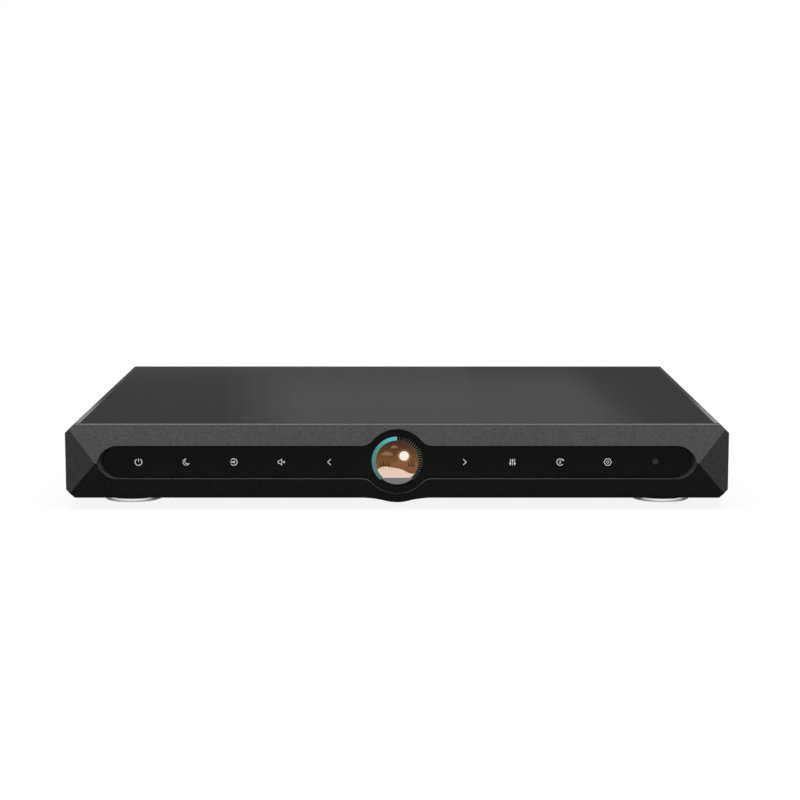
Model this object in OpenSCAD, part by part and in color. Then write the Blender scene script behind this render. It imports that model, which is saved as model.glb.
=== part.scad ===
// Network audio player: a low, wide desktop component with a round display.
// Millimetres, +Z up, the front faces -Y.
// The origin lies on the floor, under the middle of the bounding box.
// Inside the modules, y = 0 is the foot of the front slopes and z = 0 the underside of the case.

/* [Case] */
// Width of the case
case_w = 430; // [400:1:470]
// Height of the case without its feet
case_h = 48.2; // [48:0.1:60]
// Depth of the case behind the foot of the front slopes
case_d = 310; // [295:1:380]
// Bevel along the long corners of the case
bevel = 5.5; // [4:0.5:6.5]
// Wall of the side panels
side_t = 3; // [2:0.5:4]
// Thickness of the top cover
cover_t = 3; // [2.5:0.5:4]
// Thickness of the base plate
base_t = 2; // [1.5:0.5:3]
// Thickness of the rear panel
rear_t = 2.5; // [2:0.5:4]
// Depth of the land behind the front slopes
front_land = 6; // [6:0.5:9]
// Width of the land along each side of the cover
side_land = 3.2; // [2:0.2:5]
// Seam between neighbouring panels
seam = 0.3; // [0.2:0.05:0.5]
// Width of the ledges that carry the cover and meet the base plate
ledge_w = 6; // [6:0.5:8]
// Thickness of those ledges
ledge_t = 2.5; // [2:0.5:3.5]
// Width of the screw ribs inside the side panels
rib_w = 7; // [6:0.5:8]
// Gap between the ribs and the heads of the cover's screws
rib_gap = 0.7; // [0.5:0.1:4]

/* [Front] */
// Reach of the ridge in front of the foot of the slopes
ridge = 9; // [8:0.5:12]
// Distance of the ridge's ends from the sides
ridge_inset = 20.4; // [18:0.2:24]
// Half height of the lens band
band_half = 10.8; // [9:0.1:11.5]
// Distance of the lens recess from the sides
lens_margin = 24.3; // [24:0.1:30]
// Distance of the lens's round bulge from the top and the bottom of the case
bulge_margin = 3; // [2.8:0.1:4]
// Radius of the blend between bulge and band
blend_r = 10; // [8:0.5:14]
// Slant of the recess's end walls, in degrees
end_slant = 18; // [12:1:30]
// Reach of the lens face in front of the foot of the slopes
lens_proud = 0.8; // [0.4:0.1:0.9]
// Thickness of the lens
lens_t = 2; // [1.5:0.1:2.4]
// Width of the seat behind the lens's edge
lens_seat = 2.5; // [1.5:0.5:3]
// Clearance round the lens, the display glass and the remote window
lens_fit = 0.15; // [0.1:0.05:0.25]
// Drop of the round chin below the case
chin_drop = 3.2; // [1:0.1:4]
// Radius of the blend between the chin and the underside
chin_blend = 60; // [20:5:80]

/* [Display and keys] */
// Width of the lens round the display glass
screen_margin = 4.6; // [4.1:0.1:7]
// Rim of the display module round the glass
module_rim = 1.5; // [0.5:0.1:1.5]
// Distance of the first touch sign from the middle
key_first = 43.5; // [40:0.5:46]
// Spacing of the touch signs
key_pitch = 31; // [26:0.5:31]
// Touch signs on each side, the last on the right being the remote window
key_count = 5; // [3:1:5]
// Radius of the light guides behind the signs
guide_r = 2.4; // [1.5:0.1:3]
// Length of the light guides, from the lens to the touch board
guide_l = 3; // [2:0.1:3]
// Radius of the remote window
remote_r = 2; // [1.5:0.1:2.5]
// Thickness of the touch board
touch_t = 1.6; // [1:0.1:1.7]
// Thickness of the inner front plate
plate_t = 1.5; // [1:0.1:2]
// Distance of the bezel's screws from the top and the bottom of the case
bezel_screw_margin = 8.5; // [7.5:0.5:9]

/* [Feet] */
// Radius of the feet
foot_r = 19; // [16:0.5:24]
// Height of the feet
foot_h = 6.8; // [5.5:0.1:12]
// Distance of the foot centres from the sides
foot_side = 39.5; // [35:0.5:50]
// Distance of the foot centres from the front slopes and from the rear
foot_end = 36; // [34:1:50]
// Metal rim round the rubber pad
foot_rim = 4; // [3:0.5:6]
// Height of the bright band at the bottom of the feet
foot_band = 3.2; // [3.2:0.1:4]
// Depth of the waist above that band
foot_waist = 2.5; // [1:0.1:2.6]
// Reach of the pad below the foot
pad_proud = 0.5; // [0.4:0.1:1.5]
// Depth of the pad's seat
pad_seat = 2.4; // [2.2:0.1:3]
// Radius of the foot screws
foot_screw_r = 2; // [1.5:0.1:2.3]

/* [Fasteners] */
// Radius of the case screws
screw_r = 1.45; // [1.2:0.05:1.6]
// Radius of their heads
head_r = 2.75; // [2.4:0.05:2.9]
// Height of their heads
head_h = 1.8; // [1.4:0.1:2.2]
// Clearance between a screw and its hole
screw_fit = 0.05; // [0.03:0.01:0.1]

/* [Boards] */
// Height of the board standoffs
standoff_h = 6; // [5:0.5:8]
// Radius of the standoffs
standoff_r = 3; // [2.6:0.1:3.5]
// Thickness of the boards
board_t = 1.6; // [1.2:0.1:2]
// Width of the main board
main_w = 250; // [240:1:255]
// Depth of the main board
main_d = 120; // [100:1:125]
// Distance of the main board from the right side
main_margin = 25; // [22:1:30]
// Distance of the power board from the left side
power_margin = 24; // [22:1:30]
// Distance of the power board from the foot of the front slopes
power_front = 47; // [44:1:50]
// Width of the power board
power_w = 120; // [110:1:130]
// Depth of the power board
power_d = 85; // [75:1:88]
// Radius of the capacitors
capacitor_r = 9; // [6:0.5:10]
// Height of the capacitors
capacitor_h = 25; // [16:1:30]
// Width of the ribbon cable
ribbon_w = 24; // [10:1:30]

/* [Transformer] */
// Outer radius of the transformer
coil_r = 42; // [36:1:43]
// Radius of the hole in it
coil_hole_r = 10; // [7:0.5:12]
// Height of the transformer
coil_h = 30; // [22:1:31]
// Distance of the transformer's axis from the left side
coil_side = 82; // [78:1:84]
// Distance of the transformer's axis from the rear
coil_rear = 108; // [104:1:112]
// Radius of the clamp bolt
bolt_r = 3; // [2.5:0.1:4]

/* [Mains] */
// Distance of the mains inlet from the left side
inlet_side = 52; // [50:1:58]
// Width of the inlet's body
inlet_w = 27; // [26.5:0.5:29]
// Height of the inlet's body
inlet_h = 30; // [29.5:0.5:32]
// Depth of the inlet's body behind the panel
inlet_d = 22; // [22:0.5:26]
// Thickness of the inlet's flange
flange_t = 2.5; // [2:0.1:3]
// Rim of the flange round the body
flange_rim = 2; // [1.5:0.1:3]
// Width of the inlet's cavity
cavity_w = 24.4; // [24:0.1:24.6]
// Height of the inlet's cavity
cavity_h = 16.6; // [16.4:0.1:17]
// Depth of the inlet's cavity
cavity_d = 17; // [16:0.5:18]
// Width of the fuse drawer's slot
slot_w = 21; // [18:0.5:22]
// Height of the fuse drawer's slot
slot_h = 8; // [7.6:0.1:8.4]
// Running clearance of the moving pieces
run_fit = 0.3; // [0.2:0.05:0.35]
// Distance from the inlet to the mains switch
switch_gap = 40; // [36:1:46]
// Width of the switch's opening
switch_w = 11.2; // [10:0.1:13]
// Height of the switch's opening
switch_h = 20.4; // [20:0.1:22]
// Tilt of the rocker to each side, in degrees
rocker_tilt = 9; // [6:1:10]

/* [Sockets] */
// Outer radius of the line sockets
jack_r = 4.15; // [4:0.05:4.3]
// Inner radius of their shells
jack_bore_r = 3.4; // [3.2:0.05:3.5]
// Radius of the hole for the plug's pin
pin_hole_r = 1.65; // [1.6:0.05:1.8]
// Reach of the line sockets behind the rear panel
jack_reach = 11; // [9:0.5:14]
// Height of the line sockets' axes over the board
jack_rise = 9; // [8.5:0.5:12]
// Spacing of the left and right line sockets
jack_pitch = 25; // [18:1:28]
// Distance of the left line socket from the main board's end
line_inset = 28; // [24:1:32]
// Distance from the line sockets to the coaxial socket
coax_gap = 42; // [36:1:46]
// Distance from the coaxial socket to the optical socket
optic_gap = 30; // [26:1:34]
// Distance from the optical socket to the first USB socket
usb_gap = 34; // [28:1:38]
// Spacing of the USB sockets
usb_pitch = 22; // [18:1:24]
// Distance from the USB sockets to the network socket
lan_gap = 34; // [28:1:38]
// Width of the optical socket's nose
optic_w = 9.4; // [9:0.1:10]
// Width of the optical socket's opening
optic_hole_w = 6.4; // [6:0.1:6.6]
// Width of a USB shell
usb_w = 14; // [13.5:0.1:15]
// Height of a USB shell
usb_h = 6.6; // [6.4:0.1:7.4]
// Width of the network socket
lan_w = 16; // [15.6:0.1:17]
// Height of the network socket
lan_h = 13.6; // [13:0.1:15]

/* [Hidden] */
$fn = 48;
over = 1;
mid_z = case_h / 2;
half_w = case_w / 2;
base_y = ridge - (ridge + case_d + jack_reach) / 2;
bore_r = screw_r + screw_fit;

// Panels
land_x = half_w - bevel - side_land;
ledge_x = land_x - ledge_w / 2;
inner_x = half_w - side_t;
inner_bevel = 3;
inside_y = case_d - rear_t;
ledge_top = case_h - cover_t;
ledge_low = ledge_top - ledge_t;
rib_x = inner_x - rib_w / 2;
rib_rise = ledge_low - head_h - rib_gap - rib_w / 2 - mid_z;
rib_spots = [for (s = [-1, 1], t = [-1, 1]) [s * rib_x, mid_z + t * rib_rise]];
rib_screw_l = 10;
ledge_ends = 40;
ledge_rows = [front_land + ledge_ends, (front_land + inside_y) / 2, inside_y - ledge_ends];
ledge_spots = [for (s = [-1, 1], y = ledge_rows) [s * ledge_x, y]];
cover_skin = 0.8;

// Front
bulge_r = mid_z - bulge_margin;
screen_r = bulge_r - screen_margin;
lens_half = half_w - lens_margin;
lens_end_x = lens_half - band_half / cos(end_slant);
lens_back = lens_t - lens_proud;
board_front = lens_back + guide_l;
board_back = board_front + touch_t;
blend_z = band_half + blend_r;
blend_x = sqrt(pow(bulge_r + blend_r, 2) - pow(blend_z, 2));
arc_steps = 10;
arc_step = 3;
chin_r = mid_z + chin_drop;
chin_blend_z = mid_z + chin_blend;
chin_blend_x = sqrt(pow(chin_r + chin_blend, 2) - pow(chin_blend_z, 2));
chin_angle = atan2(chin_blend_z, chin_blend_x);
key_xs = [for (k = [0:key_count - 1]) key_first + k * key_pitch];
remote_x = key_xs[key_count - 1];
lit_xs = concat([for (x = key_xs) -x], [for (k = [0:key_count - 2]) key_xs[k]]);
plate_margin = 3.5;
plate_side = 4;
plate_x = half_w - plate_side;
plate_front = front_land - plate_t;
bezel_screw_l = 5;
bezel_screw_in = 70;
bezel_screw_out = 45;
bezel_screw_xs = [bezel_screw_in, half_w - bezel_screw_out];
bezel_screw_rise = mid_z - bezel_screw_margin;
bezel_spots = [for (x = bezel_screw_xs, s = [-1, 1], t = [-1, 1])
    [s * x, mid_z + t * bezel_screw_rise]];

// Feet
foot_x = half_w - foot_side;
foot_ys = [foot_end, case_d - foot_end];
pad_r = foot_r - foot_rim;
pad_hole_r = 6;
foot_head_r = 4;
boss_h = 3;
boss_r = 5;

// Boards
board_z = base_t + standoff_h;
board_top = board_z + board_t;
board_inset = 5;
main_x1 = half_w - main_margin;
main_x0 = main_x1 - main_w;
main_gap = 1;
main_y1 = inside_y - main_gap;
main_y0 = main_y1 - main_d;
power_x0 = power_margin - half_w;
power_x1 = power_x0 + power_w;
power_y0 = power_front;
power_y1 = power_y0 + power_d;
socket_depth = 40;
main_spots = [for (x = [main_x0 + board_inset, main_x1 - board_inset],
    y = [main_y0 + board_inset, main_y1 - socket_depth]) [x, y]];
power_spots = [for (x = [power_x0 + board_inset, power_x1 - board_inset],
    y = [power_y0 + board_inset, power_y1 - board_inset]) [x, y]];
board_spots = concat(main_spots, power_spots);
terminal = [16, 14, 11];
terminal_inset = 12;
terminal_x = power_x0 + terminal_inset;
terminal_y = power_y1 - terminal_inset - terminal[1];
lead_in = 4;
lead_out = 11;
choke = [22, 18, 12];
choke_inset = 12;
capacitor_gap = 3;
capacitor_rear = 20;
regulator = [60, 20, 22];
regulator_side = 52;
regulator_front = 8;
regulator_foot = 3;
chip = [26, 26, 2];
chip_side = 96;
chip_front = 44;
chip_x = main_x0 + chip_side;
chip_y = main_y0 + chip_front;
cooler = [36, 34, 12];
cooler_foot = 2.5;
converter = [14, 14, 1.6];
converter_side = 96;
converter_front = 46;
shield = [36, 30, 8];
shield_side = 60;
shield_front = 34;
plug = [4, 5, 4];
plug_front = 3;
fin_t = 1.6;
fin_pitch = 5;
vent = [2.5, 36];
vent_pitch = 6;
vent_count = 12;
main_vent_front = 40;
power_vent_front = 22;

// Transformer
coil_x = coil_side - half_w;
coil_y = case_d - coil_rear;
clamp_r = 28;
clamp_t = 2;
nut_h = 5;
nut_r = 1.8 * bolt_r;
bolt_skin = 0.5;
bolt_sink = base_t - bolt_skin;
coil_inner = 4;
coil_outer = 7;

// Mains
inlet_x = inlet_side - half_w;
inlet_y = case_d + flange_t;
cavity_wall = 1.5;
cavity_z = mid_z + inlet_h / 2 - cavity_h / 2 - cavity_wall;
cavity_cut = 4.5;
slot_wall = 1;
slot_z = mid_z - inlet_h / 2 + slot_h / 2 + slot_wall;
slot_back = 1.5;
slot_d = inlet_d + flange_t - slot_back;
drawer_gap = 0.7;
drawer_l = slot_d - drawer_gap;
drawer_w = slot_w - 2 * run_fit;
drawer_h = slot_h - 2 * run_fit;
drawer_front = 1.6;
drawer_lip = 1.4;
drawer_floor = 1.2;
blade_w = 2;
blade_h = 4;
blade_l = 14;
blade_spots = [[0, 2], [-7, -2], [7, -2]];
tab_l = 6;
fuse_r = 2.5;
fuse_l = 20;
fuse_cap = 5;
fuse_step = 0.2;
fuse_lift = 0.1;
switch_x = inlet_x + switch_gap;
switch_wall = 1;
switch_floor = 2;
switch_rim = 1.2;
switch_flange = 1.8;
switch_d = 15;
rocker_w = switch_w - 2 * run_fit;
rocker_inset = 1.5;
rocker_y = case_d - rocker_inset;
rocker_half = 9;
rocker_face = 3.6;
rocker_valley = 1.6;
rocker_depth = 6;
rocker_keel = 3;
pivot_r = 1;
pivot_fit = 0.1;
lead_r = 1.3;
lead_stub = 7;
lead_rise = 6;

// Sockets
jack_z = board_top + jack_rise;
line_left_x = main_x1 - line_inset;
line_right_x = line_left_x - jack_pitch;
coax_x = line_right_x - coax_gap;
optic_x = coax_x - optic_gap;
usb_xs = [optic_x - usb_gap, optic_x - usb_gap - usb_pitch];
lan_x = usb_xs[1] - lan_gap;
washer_t = 1.2;
washer_r = 6.5;
collar_r = 5.8;
panel_gap = 0.25;
jack_seat = 3;
core_inset = 0.4;
jack_block_w = 14;
jack_block_d = 12;
optic_h = 10.4;
optic_d = 16;
optic_nose = 2;
optic_cavity_d = 13;
optic_shoulder = 0.8;
shutter_t = 0.8;
shutter_l = 6;
shutter_head = 0.5;
shutter_room = [0.7, 0.9];
shutter_pin_r = 0.45;
shutter_pin_l = optic_hole_w + 1.2;
shutter_pin_gap = 0.4;
shutter_inset = 1;
shutter_drop = 2;
shutter_y = case_d + optic_nose - shutter_inset;
shutter_z = board_top + optic_h - shutter_drop;
usb_wall = 0.5;
usb_d = 14;
usb_proud = 0.6;
usb_back = 3;
usb_y = case_d + usb_proud - usb_d;
tongue = [11, 8, 1.8];
tongue_gap = 1;
lan_d = 21;
lan_proud = 0.4;
lan_hole = [11.8, 15, 8.4];
lan_floor = 1.6;
lan_latch = [6, 1.6];
contact_count = 8;
contact_w = 0.5;
contact_pitch = 1.02;
contact_l = 8;

// Moves the case's own coordinates to the part's frame
module placed() {
    translate([0, base_y, foot_h]) children();
}

// A box between two opposite corners
module span(low, high) {
    translate(low) cube(high - low);
}

// An outline in x and z, drawn from y0 back to y1
module along_y(y0, y1) {
    translate([0, y1, 0]) rotate([90, 0, 0]) linear_extrude(y1 - y0) children();
}

// An outline in y and z, drawn from x0 to x1
module along_x(x0, x1) {
    translate([x0, 0, 0]) rotate([90, 0, 90]) linear_extrude(x1 - x0) children();
}

// A cylinder along y, from y0 back to y1
module rod_y(r, y0, y1) {
    translate([0, y0, 0]) rotate([-90, 0, 0]) cylinder(r = r, h = y1 - y0);
}

// A cylinder along x, about its middle
module rod_x(r, l) {
    rotate([0, 90, 0]) cylinder(r = r, h = l, center = true);
}

// Points of an arc about a centre
function arc(centre, r, from, to, steps = arc_steps) =
    [for (i = [0:steps])
        let (angle = from + (to - from) * i / steps)
        centre + r * [cos(angle), sin(angle)]];

// The points of a list but its last, mirrored and in turned order
function turned_back(points, sx, sz, first = 0) =
    [for (i = [len(points) - 2:-1:first]) [points[i][0] * sx, points[i][1] * sz]];

// The blend and the bulge of the lens outline, from the band to the top of the bulge
function bulge_quarter(grow) =
    let (blend_angle = atan2(blend_z, blend_x))
    concat(
        arc([blend_x, blend_z], blend_r - grow, 270, 180 + blend_angle),
        arc([0, 0], bulge_r + grow, blend_angle + arc_step, 90));

// The round end of the lens outline, stretched as the slanted end walls meet it
function lens_end(grow) =
    [for (p = arc([0, 0], band_half + grow, 0, 90)) [lens_end_x + p[0] / cos(end_slant), p[1]]];

// A whole outline about the middle of the front from one quarter of it
module four_fold(quarter) {
    upper = concat(quarter, turned_back(quarter, -1, 1));
    translate([0, mid_z]) polygon(concat(upper, turned_back(upper, 1, -1, 1)));
}

// The lens outline, grown or shrunk all round
module lens_outline(grow) {
    four_fold(concat(lens_end(grow), bulge_quarter(grow)));
}

// The case seen from the front
function case_corners() = [
    [-half_w, bevel], [-half_w + bevel, 0], [half_w - bevel, 0], [half_w, bevel],
    [half_w, case_h - bevel], [half_w - bevel, case_h],
    [bevel - half_w, case_h], [-half_w, case_h - bevel]];

// One half of the chin, from its lowest point to the underside
function chin_half() = concat(
    arc([0, mid_z], chin_r, 270, 360 - chin_angle),
    arc([chin_blend_x, -chin_blend], chin_blend, 180 - chin_angle - arc_step / 2, 90));

// The same outline with the chin under it
module bezel_outline() {
    corners = case_corners();
    right = chin_half();
    left = [for (i = [len(right) - 1:-1:1]) [-right[i][0], right[i][1]]];
    polygon(concat([corners[0], corners[1]], left, right, [for (i = [2:7]) corners[i]]));
}

// A screw with a round head below z = 0 and its shank above
module pan_screw(l) {
    cylinder(r = screw_r, h = l);
    translate([0, 0, -head_h]) cylinder(r = head_r, h = head_h);
}

// A screw with a countersunk head that starts at z = 0, or its hole
module flat_screw(l, grow = 0) {
    cylinder(r = screw_r + grow, h = l);
    cylinder(r1 = head_r + grow, r2 = screw_r + grow, h = head_r - screw_r);
}

// Fins that stand on a plate, as one profile along y
module fins(size, foot) {
    free = size[0] - fin_t;
    count = floor(free / fin_pitch);
    translate([-size[0] / 2, 0, 0]) {
        cube([size[0], size[1], foot]);
        for (i = [0:count]) translate([i * free / count, 0, 0]) cube([fin_t, size[1], size[2]]);
    }
}

function unit(v) = v / norm(v);

// Direction of a route at one of its points
function heading(points, i) =
    let (last = len(points) - 1)
    i == 0 ? unit(points[1] - points[0]) :
    i == last ? unit(points[last] - points[last - 1]) :
    unit(unit(points[i + 1] - points[i]) + unit(points[i] - points[i - 1]));

// A round wire through a list of points, none of them straight above the next
module wire(points) {
    sides = 8;
    rings = len(points);
    ring_points = [for (i = [0:rings - 1])
        let (t = heading(points, i), u = unit(cross(t, [0, 0, 1])), v = cross(u, t))
        for (k = [0:sides - 1])
            points[i] + lead_r * (cos(360 * k / sides) * u + sin(360 * k / sides) * v)];
    walls = [for (i = [0:rings - 2], k = [0:sides - 1])
        let (a = i * sides, b = a + sides, next = (k + 1) % sides)
        [a + k, a + next, b + next, b + k]];
    ends = [[for (k = [sides - 1:-1:0]) k], [for (k = [0:sides - 1]) (rings - 1) * sides + k]];
    polyhedron(points = ring_points, faces = concat(walls, ends));
}

// Recess in front of the lens, with slanted round ends
module lens_recess() {
    reach = ridge + over;
    rise = reach - lens_proud;
    run = rise * tan(end_slant);
    along_y(-reach, -lens_proud) four_fold(concat([[blend_x, 0]], bulge_quarter(0)));
    translate([0, 0, mid_z - band_half]) linear_extrude(2 * band_half)
        polygon([[-lens_end_x, -lens_proud], [-lens_end_x - run, -reach],
            [lens_end_x + run, -reach], [lens_end_x, -lens_proud]]);
    for (side = [0, 1]) mirror([side, 0, 0]) intersection() {
        translate([lens_end_x, -lens_proud, mid_z]) rotate([90, 0, end_slant])
            translate([0, 0, -band_half]) linear_extrude(rise / cos(end_slant) + 2 * band_half)
                polygon(concat([[-over, -band_half]], arc([0, 0], band_half, -90, 90, 2 * arc_steps),
                    [[-over, band_half]]));
        span([0, -reach, 0], [half_w, -lens_proud, case_h]);
    }
}

module front_bezel() placed() color("#3c3c3e") {
    slope = ridge / mid_z;
    low = -chin_drop - over;
    ridge_x = half_w - ridge_inset;
    difference() {
        intersection() {
            along_y(-ridge - over, front_land) bezel_outline();
            along_x(-half_w, half_w) polygon([[-ridge, mid_z], [0, case_h], [front_land, case_h],
                [front_land, low], [-slope * low, low]]);
            translate([0, 0, low]) linear_extrude(case_h - low) polygon([[-half_w, 0], [-ridge_x, -ridge],
                [ridge_x, -ridge], [half_w, 0], [half_w, front_land], [-half_w, front_land]]);
        }
        lens_recess();
        along_y(-lens_proud, lens_back) lens_outline(0);
        along_y(lens_back, front_land + over) lens_outline(-lens_seat);
        span([-plate_x - seam, plate_front, plate_margin - seam],
            [plate_x + seam, front_land + over, case_h - plate_margin + seam]);
        for (p = bezel_spots) translate([p[0], 0, p[1]])
            rod_y(bore_r, plate_front - bezel_screw_l, front_land);
    }
}

module front_lens() placed() color("#101012") {
    difference() {
        along_y(-lens_proud, lens_back) lens_outline(-lens_fit);
        translate([0, 0, mid_z]) rod_y(screen_r + lens_fit, -lens_proud - over, lens_back + over);
        translate([remote_x, 0, mid_z])
            rod_y(remote_r + lens_fit, -lens_proud - over, lens_back + over);
    }
}

module display_glass() placed() color("#4a3a2c") {
    translate([0, 0, mid_z]) rod_y(screen_r, -lens_proud, lens_back);
}

module display_module() placed() color("#8f9296") {
    translate([0, 0, mid_z]) rod_y(screen_r + module_rim, lens_back, board_front);
}

module remote_window() placed() color("#2a1416") {
    translate([remote_x, 0, mid_z]) rod_y(remote_r, -lens_proud, lens_back);
}

module remote_receiver() placed() color("#1c1c1c") {
    translate([remote_x, 0, mid_z]) {
        span([-remote_r, lens_back + guide_l / 2, -remote_r], [remote_r, board_front, remote_r]);
        rod_y(0.8 * remote_r, lens_back, lens_back + guide_l / 2);
    }
}

module light_guides() placed() color("#e8ecee") {
    for (x = lit_xs) translate([x, 0, mid_z]) rod_y(guide_r, lens_back, board_front);
}

module touch_board() placed() color("#1f5a35") {
    along_y(board_front, board_back) lens_outline(-lens_seat - seam);
}

module inner_front_plate() placed() color("#a9abad") {
    difference() {
        span([-plate_x, plate_front, plate_margin], [plate_x, front_land, case_h - plate_margin]);
        along_y(plate_front - over, front_land + over) lens_outline(-lens_seat);
        for (p = bezel_spots) translate([p[0], 0, p[1]])
            rod_y(bore_r, plate_front - over, front_land + over);
        for (p = rib_spots) translate([p[0], plate_front, p[1]]) rotate([-90, 0, 0])
            flat_screw(rib_screw_l, screw_fit);
    }
}

module bezel_screws() placed() color("#b8b8b8") {
    for (p = bezel_spots) translate([p[0], front_land, p[1]]) rotate([90, 0, 0])
        pan_screw(plate_t + bezel_screw_l - over);
}

module plate_screws() placed() color("#b8b8b8") {
    for (p = rib_spots) translate([p[0], plate_front, p[1]]) rotate([-90, 0, 0])
        flat_screw(rib_screw_l);
}

module top_cover() placed() color("#333335") {
    difference() {
        span([seam - land_x, front_land + seam, ledge_top], [land_x - seam, inside_y - seam, case_h]);
        for (p = ledge_spots) translate([p[0], p[1], ledge_top - over])
            cylinder(r = bore_r, h = over + cover_t - cover_skin);
    }
}

module cover_screws() placed() color("#b8b8b8") {
    for (p = ledge_spots) translate([p[0], p[1], ledge_low])
        pan_screw(ledge_t + cover_t - cover_skin - over / 2);
}

// A row of slots through the base plate about a given middle
module vents(x, y) {
    for (i = [0:vent_count - 1]) translate([x + (i - vent_count / 2) * vent_pitch, y, -over])
        cube([vent[0], vent[1], base_t + 2 * over]);
}

module base_plate() placed() color("#2b2b2d") {
    difference() {
        union() {
            span([seam - land_x, front_land + seam, 0], [land_x - seam, inside_y - seam, base_t]);
            for (s = [-1, 1], y = foot_ys) translate([s * foot_x, y, base_t])
                cylinder(r = boss_r, h = boss_h);
        }
        for (s = [-1, 1], y = foot_ys) translate([s * foot_x, y, -over])
            cylinder(r = foot_screw_r + screw_fit, h = base_t + boss_h + 2 * over);
        for (p = ledge_spots) translate([p[0], p[1], 0]) flat_screw(base_t + over, screw_fit);
        translate([coil_x, coil_y, 0]) {
            cylinder(r = bolt_r + screw_fit, h = base_t + over);
            cylinder(r1 = bolt_r + bolt_sink + screw_fit, r2 = bolt_r + screw_fit, h = bolt_sink);
        }
        vents(main_x0 + main_w / 2, main_y0 + main_vent_front);
        vents(power_x0 + power_w / 2, power_y0 + power_vent_front);
    }
}

module base_screws() placed() color("#3a3a3c") {
    for (p = ledge_spots) translate([p[0], p[1], 0]) flat_screw(base_t + ledge_t);
}

// The right side panel: an extrusion with lands, ledges and screw ribs
module side_panel() {
    difference() {
        union() {
            along_y(front_land, inside_y) polygon([
                [half_w, bevel], [half_w, case_h - bevel], [half_w - bevel, case_h], [land_x, case_h],
                [land_x, ledge_top], [land_x - ledge_w, ledge_top], [land_x - ledge_w, ledge_low],
                [inner_x - inner_bevel, ledge_low], [inner_x, ledge_low - inner_bevel],
                [inner_x, base_t + ledge_t + inner_bevel], [inner_x - inner_bevel, base_t + ledge_t],
                [land_x - ledge_w, base_t + ledge_t], [land_x - ledge_w, base_t], [land_x, base_t],
                [land_x, 0], [half_w - bevel, 0]]);
            for (t = [-1, 1]) span([inner_x - rib_w, front_land, mid_z + t * rib_rise - rib_w / 2],
                [inner_x + side_t / 2, inside_y, mid_z + t * rib_rise + rib_w / 2]);
        }
        for (t = [-1, 1]) translate([rib_x, 0, mid_z + t * rib_rise])
            rod_y(bore_r, front_land - over, inside_y + over);
        for (y = ledge_rows) {
            translate([ledge_x, y, ledge_low - over]) cylinder(r = bore_r, h = ledge_t + 2 * over);
            translate([ledge_x, y, base_t - over]) cylinder(r = bore_r, h = ledge_t + 2 * over);
        }
    }
}

module right_side_panel() placed() color("#3a3a3c") side_panel();

module left_side_panel() placed() color("#3a3a3c") mirror([1, 0, 0]) side_panel();

// Openings of the rear panel, each grown by the clearance round its piece
module rear_openings() {
    g = panel_gap;
    translate([inlet_x, mid_z]) square([inlet_w + 2 * g, inlet_h + 2 * g], center = true);
    translate([switch_x, mid_z])
        square([switch_w + 2 * (switch_wall + g), switch_h + 2 * (switch_wall + g)], center = true);
    for (x = [line_left_x, line_right_x, coax_x]) translate([x, jack_z]) circle(r = jack_r + g);
    translate([optic_x, board_top + optic_h / 2]) square(optic_w + 2 * g, center = true);
    for (x = usb_xs) translate([x, board_top + usb_h / 2])
        square([usb_w + 2 * g, usb_h + 2 * g], center = true);
    translate([lan_x, board_top + lan_h / 2]) square([lan_w + 2 * g, lan_h + 2 * g], center = true);
}

module rear_panel() placed() color("#2b2b2d") {
    difference() {
        along_y(inside_y, case_d) polygon(case_corners());
        along_y(inside_y - over, case_d + over) rear_openings();
        for (p = rib_spots) translate([p[0], 0, p[1]])
            rod_y(bore_r, inside_y - over, case_d + over);
    }
}

module rear_screws() placed() color("#3a3a3c") {
    for (p = rib_spots) translate([p[0], case_d, p[1]]) rotate([90, 0, 0])
        pan_screw(rear_t + rib_screw_l);
}

// A turned foot with a waist and a seat for its pad, under the case at a given place
module foot_cup(x, y) {
    cup_h = foot_h - pad_proud;
    edge = 0.6;
    translate([x, y, -cup_h]) difference() {
        union() {
            cylinder(r1 = foot_r - edge, r2 = foot_r, h = edge);
            translate([0, 0, edge]) cylinder(r = foot_r, h = foot_band - edge);
            translate([0, 0, foot_band]) cylinder(r = foot_r - foot_waist, h = cup_h - foot_band);
        }
        translate([0, 0, -over]) cylinder(r = pad_r + seam, h = pad_seat + over);
        cylinder(r = foot_screw_r + screw_fit, h = cup_h + over);
    }
}

// The rubber ring in a foot
module foot_pad(x, y) {
    translate([x, y, -foot_h]) difference() {
        cylinder(r = pad_r, h = pad_proud + pad_seat);
        translate([0, 0, -over]) cylinder(r = pad_hole_r, h = pad_proud + pad_seat + 2 * over);
    }
}

module front_left_foot() placed() color("#c4c6c8") foot_cup(-foot_x, foot_ys[0]);

module front_right_foot() placed() color("#c4c6c8") foot_cup(foot_x, foot_ys[0]);

module rear_left_foot() placed() color("#c4c6c8") foot_cup(-foot_x, foot_ys[1]);

module rear_right_foot() placed() color("#c4c6c8") foot_cup(foot_x, foot_ys[1]);

module front_left_pad() placed() color("#181818") foot_pad(-foot_x, foot_ys[0]);

module front_right_pad() placed() color("#181818") foot_pad(foot_x, foot_ys[0]);

module rear_left_pad() placed() color("#181818") foot_pad(-foot_x, foot_ys[1]);

module rear_right_pad() placed() color("#181818") foot_pad(foot_x, foot_ys[1]);

module foot_screws() placed() color("#b8b8b8") {
    seat_z = pad_proud + pad_seat - foot_h;
    for (s = [-1, 1], y = foot_ys) translate([s * foot_x, y, seat_z]) {
        cylinder(r = foot_screw_r, h = base_t + boss_h - seat_z);
        translate([0, 0, -head_h]) cylinder(r = foot_head_r, h = head_h);
    }
}

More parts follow.
